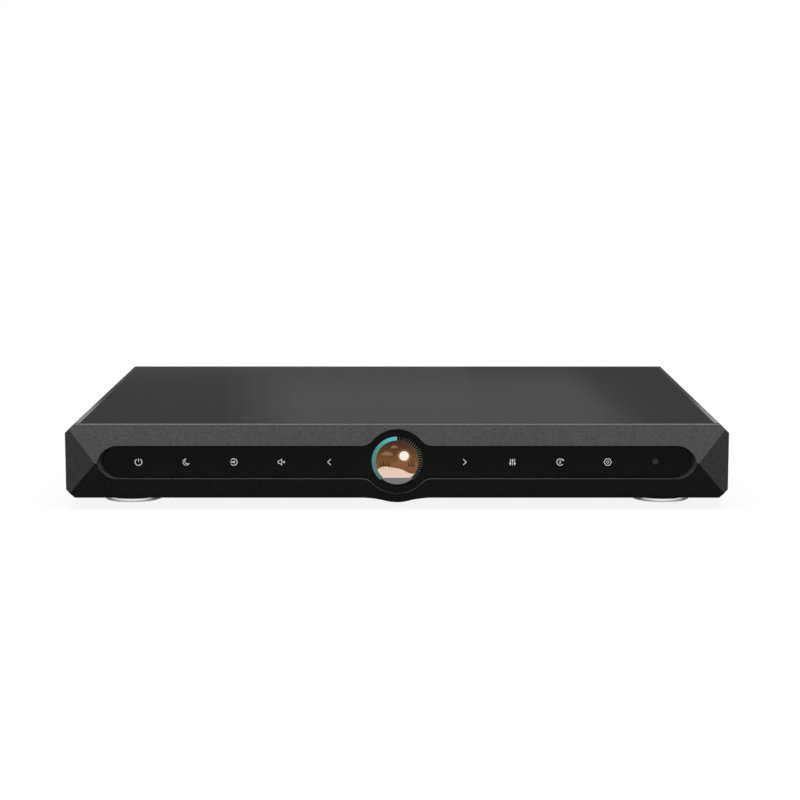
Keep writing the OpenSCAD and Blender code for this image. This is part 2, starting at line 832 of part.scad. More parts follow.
module mains_transformer() placed() color("#7a5a24") {
    hole_x = coil_hole_r + coil_inner;
    rim_x = coil_r - coil_outer;
    translate([coil_x, coil_y, base_t]) rotate_extrude() polygon(concat(
        arc([hole_x, coil_inner], coil_inner, 180, 270, 4),
        arc([rim_x, coil_outer], coil_outer, 270, 360, 6),
        arc([rim_x, coil_h - coil_outer], coil_outer, 0, 90, 6),
        arc([hole_x, coil_h - coil_inner], coil_inner, 90, 180, 4)));
}

module transformer_clamp() placed() color("#9a9c9e") {
    translate([coil_x, coil_y, base_t + coil_h]) difference() {
        cylinder(r = clamp_r, h = clamp_t);
        translate([0, 0, -over]) cylinder(r = bolt_r + screw_fit, h = clamp_t + 2 * over);
    }
}

module transformer_bolt() placed() color("#b8b8b8") {
    stack = base_t + coil_h + clamp_t;
    translate([coil_x, coil_y, 0]) {
        cylinder(r = bolt_r, h = stack + nut_h);
        cylinder(r1 = bolt_r + bolt_sink, r2 = bolt_r, h = bolt_sink);
        translate([0, 0, stack]) cylinder(r = nut_r, h = nut_h, $fn = 6);
    }
}

module board_holes(spots) {
    for (p = spots) translate([p[0], p[1], board_z - over])
        cylinder(r = bore_r, h = board_t + 2 * over);
}

module power_board() placed() color("#1f5a35") {
    difference() {
        union() {
            span([power_x0, power_y0, board_z], [power_x1, power_y1, board_top]);
            translate([terminal_x, terminal_y, board_z]) cube(terminal + [0, 0, board_t]);
            translate([power_x1 - choke_inset - choke[0], power_y0 + choke_inset, board_z])
                cube(choke + [0, 0, board_t]);
        }
        board_holes(power_spots);
    }
}

module power_capacitors() placed() color("#20242c") {
    pitch = 2 * capacitor_r + capacitor_gap;
    y = power_y1 - capacitor_rear - capacitor_r;
    for (i = [-1, 0, 1]) translate([power_x0 + power_w / 2 + i * pitch, y, board_top])
        cylinder(r = capacitor_r, h = capacitor_h);
}

module regulator_heatsink() placed() color("#26282a") {
    translate([power_x0 + regulator_side, power_y0 + regulator_front, board_top])
        fins(regulator, regulator_foot);
}

module main_board() placed() color("#1f5a35") {
    raise = [0, 0, board_t];
    plug_w = ribbon_w + plug[0];
    difference() {
        union() {
            span([main_x0, main_y0, board_z], [main_x1, main_y1, board_top]);
            translate([chip_x, chip_y, board_z]) cube(chip + raise);
            translate([main_x1 - converter_side, main_y0 + converter_front, board_z])
                cube(converter + raise);
            translate([main_x1 - shield_side, main_y0 + shield_front, board_z]) cube(shield + raise);
            translate([-plug_w / 2, main_y0 + plug_front, board_z])
                cube([plug_w, plug[1], plug[2] + board_t]);
        }
        board_holes(main_spots);
    }
}

module processor_heatsink() placed() color("#26282a") {
    translate([chip_x + chip[0] / 2, chip_y + (chip[1] - cooler[1]) / 2, board_top + chip[2]])
        fins(cooler, cooler_foot);
}

module board_standoffs() placed() color("#b8a15a") {
    for (p = board_spots) translate([p[0], p[1], base_t]) difference() {
        cylinder(r = standoff_r, h = standoff_h);
        translate([0, 0, over]) cylinder(r = bore_r, h = standoff_h);
    }
}

module board_screws() placed() color("#b8b8b8") {
    for (p = board_spots) translate([p[0], p[1], board_top]) rotate([180, 0, 0])
        pan_screw(board_t + standoff_h - 2 * over);
}

// A flat cable from the touch board down to the main board's plug
module front_ribbon() placed() color("#d8d4c4") {
    t = 0.4;
    low_z = board_top + plug[2] / 2;
    bend_y = front_land + 8;
    down_y = bend_y + 10;
    end_y = main_y0 + plug_front;
    along_x(-ribbon_w / 2, ribbon_w / 2) polygon([
        [board_back, mid_z], [bend_y, mid_z], [down_y, low_z], [end_y, low_z],
        [end_y, low_z + t], [down_y + t, low_z + t], [bend_y + t, mid_z + t], [board_back, mid_z + t]]);
}

module power_leads() placed() color("#8a2a22") {
    tab_y = case_d - inlet_d - tab_l;
    tab_z = cavity_z + blade_spots[1][1];
    left_x = inlet_x + blade_spots[1][0];
    right_x = inlet_x + blade_spots[2][0];
    stub = lead_stub;
    high = mid_z + lead_rise;
    end_y = terminal_y + terminal[1];
    end_z = board_top + terminal[2] / 2;
    coil_front = coil_y - coil_r - run_fit;
    coil_z = base_t + coil_h / 2;
    wire([[left_x, tab_y, tab_z], [left_x, tab_y - stub, tab_z],
        [power_x0, tab_y - 3 * stub, high], [power_x0, end_y + 3 * stub, high],
        [terminal_x + lead_in, end_y + stub, end_z], [terminal_x + lead_in, end_y, end_z]]);
    wire([[right_x, tab_y, tab_z], [right_x, tab_y - stub, tab_z],
        [switch_x, tab_y - stub, mid_z], [switch_x, case_d - switch_d, mid_z]]);
    wire([[coil_x, coil_front, coil_z], [coil_x, coil_front - stub, coil_z],
        [terminal_x + lead_out, end_y + stub, end_z], [terminal_x + lead_out, end_y, end_z]]);
}

// The inlet's cavity seen from behind the player, with its two cut corners
module cavity_outline() {
    w = cavity_w / 2;
    h = cavity_h / 2;
    translate([inlet_x, cavity_z]) polygon([[-w, -h], [w, -h], [w, h - cavity_cut], [w - cavity_cut, h],
        [cavity_cut - w, h], [-w, h - cavity_cut]]);
}

module mains_inlet() placed() color("#161618") {
    half = [inlet_w / 2, inlet_h / 2];
    rim = half + [flange_rim, flange_rim];
    difference() {
        translate([inlet_x, 0, mid_z]) {
            span([-half[0], case_d - inlet_d, -half[1]], [half[0], case_d, half[1]]);
            span([-rim[0], case_d, -rim[1]], [rim[0], inlet_y, rim[1]]);
        }
        along_y(inlet_y - cavity_d, inlet_y + over) cavity_outline();
        translate([inlet_x - slot_w / 2, inlet_y - slot_d, slot_z - slot_h / 2])
            cube([slot_w, slot_d + over, slot_h]);
    }
}

module inlet_blades() placed() color("#c9ccd0") {
    floor_y = inlet_y - cavity_d;
    for (p = blade_spots) translate([inlet_x + p[0] - blade_w / 2, 0, cavity_z + p[1] - blade_h / 2]) {
        translate([0, floor_y, 0]) cube([blade_w, blade_l, blade_h]);
        translate([0, case_d - inlet_d - tab_l, 0]) cube([blade_w, tab_l, blade_h]);
    }
}

module fuse_drawer() placed() color("#1c1c1e") {
    w = drawer_w / 2;
    low = -drawer_h / 2;
    front = run_fit + drawer_front;
    trough_r = fuse_r + run_fit;
    trough_y = over - drawer_l;
    translate([inlet_x, inlet_y, slot_z]) difference() {
        union() {
            span([-w, -drawer_l, low], [w, front, -low]);
            span([-w / 2, front, low], [w / 2, front + drawer_lip, low + drawer_lip]);
        }
        span([-trough_r, trough_y, low + drawer_floor],
            [trough_r, trough_y + fuse_l + run_fit, over - low]);
    }
}

module fuse() placed() color("#d8dcdc") {
    y = inlet_y - drawer_l + over + run_fit / 2;
    z = slot_z - drawer_h / 2 + drawer_floor + fuse_r + fuse_lift;
    translate([inlet_x, y, z]) {
        rod_y(fuse_r - fuse_step, 0, fuse_l);
        rod_y(fuse_r, 0, fuse_cap);
        rod_y(fuse_r, fuse_l - fuse_cap, fuse_l);
    }
}

module switch_frame() placed() color("#161618") {
    hole = [switch_w / 2, switch_h / 2];
    body = hole + [switch_wall, switch_wall];
    rim = body + [switch_rim, switch_rim];
    front_y = case_d + switch_flange;
    back_y = case_d - switch_d;
    translate([switch_x, 0, mid_z]) difference() {
        union() {
            span([-body[0], back_y, -body[1]], [body[0], case_d, body[1]]);
            span([-rim[0], case_d, -rim[1]], [rim[0], front_y, rim[1]]);
        }
        span([-hole[0], back_y + switch_floor, -hole[1]], [hole[0], front_y + over, hole[1]]);
        translate([0, rocker_y, 0]) rod_x(pivot_r + pivot_fit, 2 * body[0] + over);
    }
}

// Rocker with two faces that meet in a shallow valley, resting with its lower half pressed
module power_rocker() placed() color("#1c1c1e") {
    back_z = rocker_half - 0.5;
    translate([switch_x, rocker_y, mid_z]) rotate([-rocker_tilt, 0, 0]) {
        along_x(-rocker_w / 2, rocker_w / 2) polygon([[rocker_face - rocker_valley, 0],
            [rocker_face, rocker_half], [-rocker_inset, back_z], [-rocker_depth, rocker_keel],
            [-rocker_depth, -rocker_keel], [-rocker_inset, -back_z], [rocker_face, -rocker_half]]);
        rod_x(pivot_r, switch_w + 2 * (switch_wall - pivot_fit * 2));
    }
}

// Metal sleeve and collar of a round socket
module jack_shell(x) {
    translate([x, 0, jack_z]) difference() {
        union() {
            rod_y(jack_r, inside_y - jack_seat, case_d + jack_reach);
            rod_y(collar_r, case_d + washer_t, case_d + 2 * washer_t);
        }
        rod_y(jack_bore_r, inside_y - jack_seat - over, case_d + jack_reach + over);
    }
}

// Coloured washer and the core with the hole for the plug's pin
module jack_insulator(x) {
    translate([x, 0, jack_z]) {
        difference() {
            rod_y(washer_r, case_d, case_d + washer_t);
            rod_y(jack_r + screw_fit, case_d - over, case_d + washer_t + over);
        }
        difference() {
            rod_y(jack_bore_r - screw_fit, inside_y - jack_seat, case_d + jack_reach - core_inset);
            rod_y(pin_hole_r, case_d, case_d + jack_reach + over);
        }
    }
}

module left_line_shell() placed() color("#c8a24a") jack_shell(line_left_x);

module right_line_shell() placed() color("#c8a24a") jack_shell(line_right_x);

module coax_shell() placed() color("#c8a24a") jack_shell(coax_x);

module left_line_insulator() placed() color("#e6e4de") jack_insulator(line_left_x);

module right_line_insulator() placed() color("#a81e1c") jack_insulator(line_right_x);

module coax_insulator() placed() color("#c8641c") jack_insulator(coax_x);

module jack_blocks() placed() color("#1a1a1c") {
    for (x = [line_left_x, line_right_x, coax_x]) difference() {
        span([x - jack_block_w / 2, inside_y - jack_block_d, board_top],
            [x + jack_block_w / 2, inside_y, jack_z + jack_block_w / 2]);
        translate([x, 0, jack_z]) rod_y(jack_r + screw_fit, inside_y - jack_seat, inside_y + over);
    }
}

module optical_socket() placed() color("#18181a") {
    hole = optic_hole_w / 2;
    nose = optic_w / 2;
    body = nose + optic_shoulder;
    front_y = case_d + optic_nose;
    nose_z = board_top + optic_h / 2;
    translate([optic_x, 0, 0]) difference() {
        union() {
            span([-body, case_d - optic_d, board_top], [body, inside_y, board_top + optic_h]);
            span([-nose, inside_y - over, nose_z - nose], [nose, front_y, nose_z + nose]);
        }
        span([-hole, front_y - optic_cavity_d, shutter_z - shutter_l - shutter_room[0]],
            [hole, front_y + over, shutter_z + shutter_room[1]]);
        translate([0, shutter_y, shutter_z])
            rod_x(shutter_pin_r + pivot_fit, shutter_pin_l + shutter_pin_gap);
    }
}

module optical_shutter() placed() color("#2c2c30") {
    w = optic_hole_w / 2 - run_fit;
    translate([optic_x, shutter_y, shutter_z]) {
        span([-w, -shutter_t / 2, -shutter_l], [w, shutter_t / 2, shutter_head]);
        rod_x(shutter_pin_r, shutter_pin_l);
    }
}

module usb_shells() placed() color("#c9ccd0") {
    for (x = usb_xs) translate([x - usb_w / 2, usb_y, board_top]) difference() {
        cube([usb_w, usb_d, usb_h]);
        translate([usb_wall, -over, usb_wall])
            cube([usb_w - 2 * usb_wall, usb_d + 2 * over, usb_h - 2 * usb_wall]);
    }
}

module usb_tongues() placed() color("#e8e8ea") {
    half = usb_w / 2 - usb_wall;
    room = usb_h - 2 * usb_wall;
    for (x = usb_xs) translate([x, usb_y, board_top + usb_wall]) {
        span([-half, 0, 0], [half, usb_back, room]);
        translate([-tongue[0] / 2, usb_back, room - tongue_gap - tongue[2]]) cube(tongue);
    }
}

module network_socket() placed() color("#b4b7ba") {
    front_y = case_d + lan_proud;
    hole_z = board_top + lan_floor + lan_latch[1];
    translate([lan_x, 0, 0]) difference() {
        span([-lan_w / 2, front_y - lan_d, board_top], [lan_w / 2, front_y, board_top + lan_h]);
        span([-lan_hole[0] / 2, front_y - lan_hole[1], hole_z],
            [lan_hole[0] / 2, front_y + over, hole_z + lan_hole[2]]);
        span([-lan_latch[0] / 2, front_y - lan_hole[1], board_top + lan_floor],
            [lan_latch[0] / 2, front_y + over, hole_z + over]);
    }
}

module network_contacts() placed() color("#c8a24a") {
    back_y = case_d + lan_proud - lan_hole[1];
    ceiling = board_top + lan_floor + lan_latch[1] + lan_hole[2];
    first_x = lan_x - ((contact_count - 1) * contact_pitch + contact_w) / 2;
    for (i = [0:contact_count - 1])
        translate([first_x + i * contact_pitch, back_y, ceiling - 2 * contact_w])
            cube([contact_w, contact_l, contact_w]);
}

front_bezel();
front_lens();
display_glass();
display_module();
remote_window();
remote_receiver();
light_guides();
touch_board();
inner_front_plate();
bezel_screws();
plate_screws();
top_cover();
base_plate();
left_side_panel();
right_side_panel();
rear_panel();
cover_screws();
base_screws();
rear_screws();
front_left_foot();
front_right_foot();
rear_left_foot();
rear_right_foot();
front_left_pad();
front_right_pad();
rear_left_pad();
rear_right_pad();
foot_screws();
mains_transformer();
transformer_clamp();
transformer_bolt();
power_board();
power_capacitors();
regulator_heatsink();
main_board();
processor_heatsink();
board_standoffs();
board_screws();
front_ribbon();
power_leads();
mains_inlet();
inlet_blades();
fuse_drawer();
fuse();
switch_frame();
power_rocker();
left_line_shell();
right_line_shell();
coax_shell();
left_line_insulator();
right_line_insulator();
coax_insulator();
jack_blocks();
optical_socket();
optical_shutter();
usb_shells();
usb_tongues();
network_socket();
network_contacts();
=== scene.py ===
import math
import bpy
import bmesh
from mathutils import Matrix, Vector


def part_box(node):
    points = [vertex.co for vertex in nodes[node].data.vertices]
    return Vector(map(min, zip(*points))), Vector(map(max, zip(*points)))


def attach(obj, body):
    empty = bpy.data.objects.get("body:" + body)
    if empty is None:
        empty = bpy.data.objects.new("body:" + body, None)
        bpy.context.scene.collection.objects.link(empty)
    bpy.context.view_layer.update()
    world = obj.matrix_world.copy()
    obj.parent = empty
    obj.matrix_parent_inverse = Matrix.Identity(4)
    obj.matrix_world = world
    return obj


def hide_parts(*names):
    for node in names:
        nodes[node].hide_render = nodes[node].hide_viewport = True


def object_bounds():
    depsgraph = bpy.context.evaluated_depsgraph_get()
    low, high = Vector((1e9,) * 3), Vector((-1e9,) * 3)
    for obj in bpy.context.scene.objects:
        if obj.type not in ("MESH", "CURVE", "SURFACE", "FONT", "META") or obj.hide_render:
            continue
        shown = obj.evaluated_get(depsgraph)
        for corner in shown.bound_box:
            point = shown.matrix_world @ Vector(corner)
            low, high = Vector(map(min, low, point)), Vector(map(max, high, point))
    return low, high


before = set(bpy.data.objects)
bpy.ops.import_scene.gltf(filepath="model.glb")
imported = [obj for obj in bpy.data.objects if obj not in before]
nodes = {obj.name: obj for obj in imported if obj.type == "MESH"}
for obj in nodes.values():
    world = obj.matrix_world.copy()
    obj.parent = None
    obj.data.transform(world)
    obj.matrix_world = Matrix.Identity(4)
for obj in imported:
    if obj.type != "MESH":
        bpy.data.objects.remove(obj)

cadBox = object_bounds()
scene = bpy.context.scene
scene.view_settings.view_transform = "Standard"
mm = 0.001


# camera at the photo's viewpoint
viewpoint = {"place": (0.00196, -1.4540, 0.25154), "pitch": 7.919, "lens": 91.32, "sensor": 36.0}
camera = bpy.data.objects.new("photoCamera", bpy.data.cameras.new("photoCamera"))
camera.data.lens = viewpoint["lens"]
camera.data.sensor_width = viewpoint["sensor"]
camera.location = viewpoint["place"]
camera.rotation_euler = (math.radians(90 - viewpoint["pitch"]), 0, 0)
scene.collection.objects.link(camera)
scene.camera = camera
print("camera set")


def srgb(red, green, blue):
    # screen colour of 0 to 255 as the linear value that sockets take
    parts = [c / 255 for c in (red, green, blue)]
    return tuple(c / 12.92 if c < 0.04045 else ((c + 0.055) / 1.055) ** 2.4 for c in parts) + (1,)


def grey(level):
    return srgb(level, level, level)


# node helpers
def place(tree, kind, **values):
    node = tree.nodes.new(kind)
    for key, value in values.items():
        setattr(node, key, value)
    return node


def setInputs(node, values):
    for label, value in values.items():
        node.inputs[label].default_value = value


def feed(tree, value, socket):
    # a socket takes a plain value or a link
    if isinstance(value, (int, float, tuple)):
        socket.default_value = value
    else:
        tree.links.new(value, socket)


def maths(tree, operation, *values):
    node = place(tree, "ShaderNodeMath", operation=operation)
    for socket, value in zip(node.inputs, values):
        feed(tree, value, socket)
    return node.outputs[0]


def ramp(tree, value, low, high, start=0.0, end=1.0, kind="SMOOTHSTEP"):
    # goes from start to end while the value goes from low to high
    node = place(tree, "ShaderNodeMapRange", interpolation_type=kind)
    setInputs(node, {"From Min": low, "From Max": high, "To Min": start, "To Max": end})
    tree.links.new(value, node.inputs["Value"])
    return node.outputs["Result"]


def noise(tree, vector, values):
    node = place(tree, "ShaderNodeTexNoise")
    setInputs(node, values)
    tree.links.new(vector, node.inputs["Vector"])
    return node


def splitOf(tree, vector):
    split = place(tree, "ShaderNodeSeparateXYZ")
    tree.links.new(vector, split.inputs[0])
    return split.outputs


def coordinate(tree, label):
    return place(tree, "ShaderNodeTexCoord").outputs[label]


def mixColors(tree, share, first, second):
    node = place(tree, "ShaderNodeMix", data_type="RGBA")
    tree.links.new(share, node.inputs["Factor"])
    feed(tree, first, node.inputs[6])
    feed(tree, second, node.inputs[7])
    return node.outputs[2]


def mixShaders(tree, share, first, second):
    node = place(tree, "ShaderNodeMixShader")
    for value, socket in zip((share, first, second), node.inputs):
        tree.links.new(value, socket)
    return node.outputs[0]


# white studio: sky, floor and lamps
studio = {
    "ambient": 0.04, "floorBounce": 0.047, "floorMatt": 0.95, "floorSize": 30.0, "shadowShare": 0.11,
    "shadowReach": 0.30, "contactInset": {"X": 0.0, "Y": 0.05}, "mirrorStart": 0.014, "mirrorEnd": 0.041,
    "mirrorNear": 0.12, "mirrorFar": 1.0}


def makeSky():
    # white where the backdrop itself is seen or mirrored, a dim ambient light otherwise
    sky = bpy.data.worlds.new("studioSky")
    sky.use_nodes = True
    tree = sky.node_tree
    path = place(tree, "ShaderNodeLightPath").outputs
    direct = maths(tree, "MAXIMUM", path["Is Camera Ray"], path["Is Glossy Ray"])
    seen = maths(tree, "MAXIMUM", direct, path["Is Transmission Ray"])
    strength = maths(tree, "MULTIPLY_ADD", seen, 1 - studio["ambient"], studio["ambient"])
    shade = tree.nodes["Background"]
    shade.inputs["Color"].default_value = (1, 1, 1, 1)
    tree.links.new(strength, shade.inputs["Strength"])
    return sky


def mattShade(tree, level):
    shade = place(tree, "ShaderNodeBsdfDiffuse")
    shade.inputs["Color"].default_value = (level, level, level, 1)
    return shade.outputs[0]


def makeFloorPaint():
    paint = bpy.data.materials.new("studioFloor")
    paint.use_nodes = True
    tree = paint.node_tree
    tree.nodes.remove(tree.nodes["Principled BSDF"])
    glow = place(tree, "ShaderNodeEmission").outputs[0]
    matt = mattShade(tree, studio["floorMatt"])
    bounce = mattShade(tree, studio["floorBounce"])
    # distance from a box a little inside the player's outline
    here = place(tree, "ShaderNodeNewGeometry").outputs
    spot = splitOf(tree, here["Position"])
    inset = studio["contactInset"]
    squares = []
    for axis, low, high in (("X", cadBox[0].x, cadBox[1].x), ("Y", cadBox[0].y, cadBox[1].y)):
        away = maths(tree, "ABSOLUTE", maths(tree, "SUBTRACT", spot[axis], (low + high) / 2))
        beyond = maths(tree, "MAXIMUM", maths(tree, "SUBTRACT", away, (high - low) / 2 - inset[axis]), 0.0)
        squares.append(maths(tree, "POWER", beyond, 2.0))
    distance = maths(tree, "SQRT", maths(tree, "ADD", *squares))
    # the shadow shows near the player and fades into plain white round it
    shadowEnd = inset["Y"] + studio["shadowReach"]
    shadow = ramp(tree, distance, inset["Y"], shadowEnd, studio["shadowShare"], 0.0)
    shown = mixShaders(tree, shadow, glow, matt)
    # mirrors show the white floor with darker contact, other light only bounces dimly
    mirror = ramp(tree, distance, *(studio["mirror" + end] for end in ("Start", "End", "Near", "Far")))
    mirrored = mixShaders(tree, mirror, matt, glow)
    path = place(tree, "ShaderNodeLightPath").outputs
    indirect = mixShaders(tree, path["Is Glossy Ray"], bounce, mirrored)
    direct = maths(tree, "MAXIMUM", path["Is Camera Ray"], path["Is Transmission Ray"])
    above = mixShaders(tree, direct, indirect, shown)
    # seen from below, the floor is clear
    clear = place(tree, "ShaderNodeBsdfTransparent").outputs[0]
    surface = mixShaders(tree, here["Backfacing"], above, clear)
    tree.links.new(surface, tree.nodes["Material Output"].inputs["Surface"])
    return paint


scene.world = makeSky()
half = studio["floorSize"] / 2
floorMesh = bpy.data.meshes.new("studioFloor")
floorCorners = [(-half, -half, 0), (half, -half, 0), (half, half, 0), (-half, half, 0)]
floorMesh.from_pydata(floorCorners, [], [(0, 1, 2, 3)])
floorMesh.materials.append(makeFloorPaint())
studioFloor = bpy.data.objects.new("studioFloor", floorMesh)
scene.collection.objects.link(studioFloor)


def addLamp(name, spot, size, watts, target, lean=0.0):
    lamp = bpy.data.lights.new(name, "AREA")
    lamp.shape = "RECTANGLE"
    lamp.size, lamp.size_y = size
    lamp.energy = watts
    lampObject = bpy.data.objects.new(name, lamp)
    lampObject.location = spot
    aim = (Vector(target) - Vector(spot)).to_track_quat("-Z", "Y").to_matrix()
    lampObject.rotation_euler = (aim @ Matrix.Rotation(math.radians(lean), 3, "Z")).to_euler()
    lampObject.visible_camera = False
    scene.collection.objects.link(lampObject)


# place, size and watts of the lamps that look at the heart of the player
heart = (0, 0, 0.03)
lamps = {
    "overheadBox": ((0.0, -0.17, 1.30), (1.8, 0.8), 24.0),
    "horizonStrip": ((-0.18, 2.00, 0.245), (0.6, 0.06), 0.68),
    "rearBox": ((0.2, 1.50, 0.66), (1.0, 0.4), 5.0),
    "leftFill": ((-1.30, -0.25, 0.55), (0.6, 0.6), 3.3),
    "rightFill": ((1.30, -0.25, 0.55), (0.6, 0.6), 3.3)}
for lampName, (spot, size, watts) in lamps.items():
    addLamp(lampName, spot, size, watts, heart)

# panels behind the player whose sides step in, so that the cover mirrors a band with soft sides
backPanel = {"place": (0.057, 1.75, 0.305), "width": 0.551, "depth": 0.74, "watts": 5.6, "lean": 3.9,
             "fadeLeft": 0.125, "fadeRight": 0.04, "rise": 0.003, "count": 6}
for i in range(backPanel["count"]):
    share = (i + 0.5) / backPanel["count"] - 0.5
    stepLeft, stepRight = backPanel["fadeLeft"] * share, backPanel["fadeRight"] * share
    width = backPanel["width"] - stepLeft - stepRight
    watts = backPanel["watts"] * width / backPanel["width"] / backPanel["count"]
    x, y, z = backPanel["place"]
    x += (stepLeft - stepRight) / 2
    addLamp("backPanel" + str(i), (x, y, z + i * backPanel["rise"]), (width, backPanel["depth"]), watts,
            (x, y, 0), backPanel["lean"])
print("studio set")


# shader groups that several finishes share
def newGroup(name, takes, gives):
    # a colour has four parts and a vector three; only outputs called Color are colours
    kinds = {4: "NodeSocketColor", 3: "NodeSocketVector"}
    group = bpy.data.node_groups.new(name, "ShaderNodeTree")
    for label, value in takes.items():
        kind = kinds[len(value)] if isinstance(value, tuple) else "NodeSocketFloat"
        group.interface.new_socket(label, in_out="INPUT", socket_type=kind).default_value = value
    for label in gives:
        kind = kinds[4] if label == "Color" else "NodeSocketFloat"
        group.interface.new_socket(label, in_out="OUTPUT", socket_type=kind)
    return group, group.nodes.new("NodeGroupInput").outputs, group.nodes.new("NodeGroupOutput").inputs


def swingOf(tree, value):
    # 0 to 1 becomes -1 to 1
    return maths(tree, "MULTIPLY_ADD", value, 2.0, -1.0)


def tint(tree, color, tone):
    node = place(tree, "ShaderNodeVectorMath", operation="SCALE")
    tree.links.new(color, node.inputs[0])
    tree.links.new(tone, node.inputs["Scale"])
    return node.outputs[0]


def giveOut(group, result, values):
    for label, value in values.items():
        group.links.new(value, result[label])


grainNoise = {"fine": {"Detail": 2.0, "Roughness": 0.6}, "cloud": {"Detail": 3.0, "Scale": 18.0}}


def makeGrain():
    # fine grain over broad clouds: tone, roughness and height
    group, source, result = newGroup("surfaceGrain", {
        "Color": (0.5, 0.5, 0.5, 1), "Tone Spread": 0.1, "Cloud Spread": 0.05, "Scale": 2000.0,
        "Stretch": (1, 1, 1), "Roughness": 0.5, "Roughness Spread": 0.06}, ("Color", "Roughness", "Height"))
    where = coordinate(group, "Object")
    stretched = place(group, "ShaderNodeVectorMath", operation="MULTIPLY")
    group.links.new(where, stretched.inputs[0])
    group.links.new(source["Stretch"], stretched.inputs[1])
    fine = noise(group, stretched.outputs[0], grainNoise["fine"])
    group.links.new(source["Scale"], fine.inputs["Scale"])
    fineSwing = swingOf(group, fine.outputs["Fac"])
    cloudSwing = swingOf(group, noise(group, where, grainNoise["cloud"]).outputs["Fac"])
    tone = maths(group, "MULTIPLY_ADD", fineSwing, source["Tone Spread"], 1.0)
    tone = maths(group, "MULTIPLY_ADD", cloudSwing, source["Cloud Spread"], tone)
    swing = maths(group, "ADD", fineSwing, cloudSwing)
    rough = maths(group, "MULTIPLY_ADD", swing, source["Roughness Spread"], source["Roughness"])
    giveOut(group, result, {
        "Color": tint(group, source["Color"], tone), "Roughness": rough, "Height": fine.outputs["Fac"]})
    return group


rubShape = {"samples": 4, "flat": 0.99, "sharp": 0.88, "patches": {"Scale": 90.0, "Detail": 4.0}}


def makeEdgeRub():
    # edges that hands and cloths have rubbed a little paler
    group, source, result = newGroup("edgeRub", {
        "Color": (0.5, 0.5, 0.5, 1), "Rubbed Color": (0.7, 0.7, 0.7, 1), "Amount": 0.3, "Width": 0.0005},
        ("Color",))
    rounded = place(group, "ShaderNodeBevel", samples=rubShape["samples"])
    group.links.new(source["Width"], rounded.inputs["Radius"])
    turn = place(group, "ShaderNodeVectorMath", operation="DOT_PRODUCT")
    group.links.new(rounded.outputs["Normal"], turn.inputs[0])
    group.links.new(place(group, "ShaderNodeNewGeometry").outputs["Normal"], turn.inputs[1])
    edge = ramp(group, turn.outputs["Value"], rubShape["flat"], rubShape["sharp"], kind="LINEAR")
    patch = noise(group, coordinate(group, "Object"), rubShape["patches"])
    broken = maths(group, "MULTIPLY", edge, patch.outputs["Fac"])
    mask = maths(group, "MULTIPLY", broken, source["Amount"])
    giveOut(group, result, {"Color": mixColors(group, mask, source["Color"], source["Rubbed Color"])})
    return group


ringShape = {"roughSpread": 0.05, "jitter": {"Scale": 1.0, "Detail": 2.0}}


def makeTurned():
    # rings that a lathe leaves round the piece's own upright axis
    group, source, result = newGroup("turnedRings", {
        "Color": (0.7, 0.7, 0.7, 1), "Pitch": 0.0004, "Roughness": 0.3, "Tone Spread": 0.06},
        ("Color", "Roughness", "Height"))
    spot = splitOf(group, coordinate(group, "Object"))
    across = maths(group, "POWER", spot["X"], 2.0)
    along = maths(group, "POWER", spot["Y"], 2.0)
    reach = maths(group, "SQRT", maths(group, "ADD", across, along))
    count = maths(group, "DIVIDE", maths(group, "ADD", reach, spot["Z"]), source["Pitch"])
    jitter = place(group, "ShaderNodeTexNoise", noise_dimensions="1D")
    setInputs(jitter, ringShape["jitter"])
    group.links.new(count, jitter.inputs["W"])
    swing = swingOf(group, jitter.outputs["Fac"])
    tone = maths(group, "MULTIPLY_ADD", swing, source["Tone Spread"], 1.0)
    giveOut(group, result, {
        "Color": tint(group, source["Color"], tone), "Height": jitter.outputs["Fac"],
        "Roughness": maths(group, "MULTIPLY_ADD", swing, ringShape["roughSpread"], source["Roughness"])})
    return group


smudgeShape = {"smear": {"Scale": 26.0, "Detail": 5.0, "Distortion": 0.8}, "from": 0.45, "to": 0.75}


def makeSmudge():
    # faint hand marks on smooth faces
    group, source, result = newGroup("handSmudge", {"Roughness": 0.1, "Amount": 0.05}, ("Roughness",))
    smear = noise(group, coordinate(group, "Object"), smudgeShape["smear"])
    patch = ramp(group, smear.outputs["Fac"], smudgeShape["from"], smudgeShape["to"], kind="LINEAR")
    giveOut(group, result, {
        "Roughness": maths(group, "MULTIPLY_ADD", patch, source["Amount"], source["Roughness"])})
    return group


surfaceGrain = makeGrain()
edgeRub = makeEdgeRub()
turnedRings = makeTurned()
handSmudge = makeSmudge()
print("shader groups made")


# what a finish has where its look says nothing else
plainLook = {"metallic": 0.0, "specular": 0.4, "coat": 0.0, "coatRoughness": 0.1, "bump": 0.2,
             "bumpDepth": 0.0001}


def newFinish(name, look):
    # a material with the plain numbers of its finish on the shader
    look = {**plainLook, **look}
    finish = bpy.data.materials.new(name)
    finish.use_nodes = True
    shader = finish.node_tree.nodes["Principled BSDF"]
    setInputs(shader, {"Metallic": look["metallic"], "Specular IOR Level": look["specular"],
                       "Coat Weight": look["coat"], "Coat Roughness": look["coatRoughness"]})
    return finish, finish.node_tree, shader


def dress(tree, shader, color, surface, look):
    # puts a colour and a shared group's roughness and height on the shader
    look = {**plainLook, **look}
    bump = place(tree, "ShaderNodeBump")
    setInputs(bump, {"Strength": look["bump"], "Distance": look["bumpDepth"]})
    tree.links.new(surface["Height"], bump.inputs["Height"])
    tree.links.new(bump.outputs["Normal"], shader.inputs["Normal"])
    tree.links.new(surface["Roughness"], shader.inputs["Roughness"])
    tree.links.new(color, shader.inputs["Base Color"])


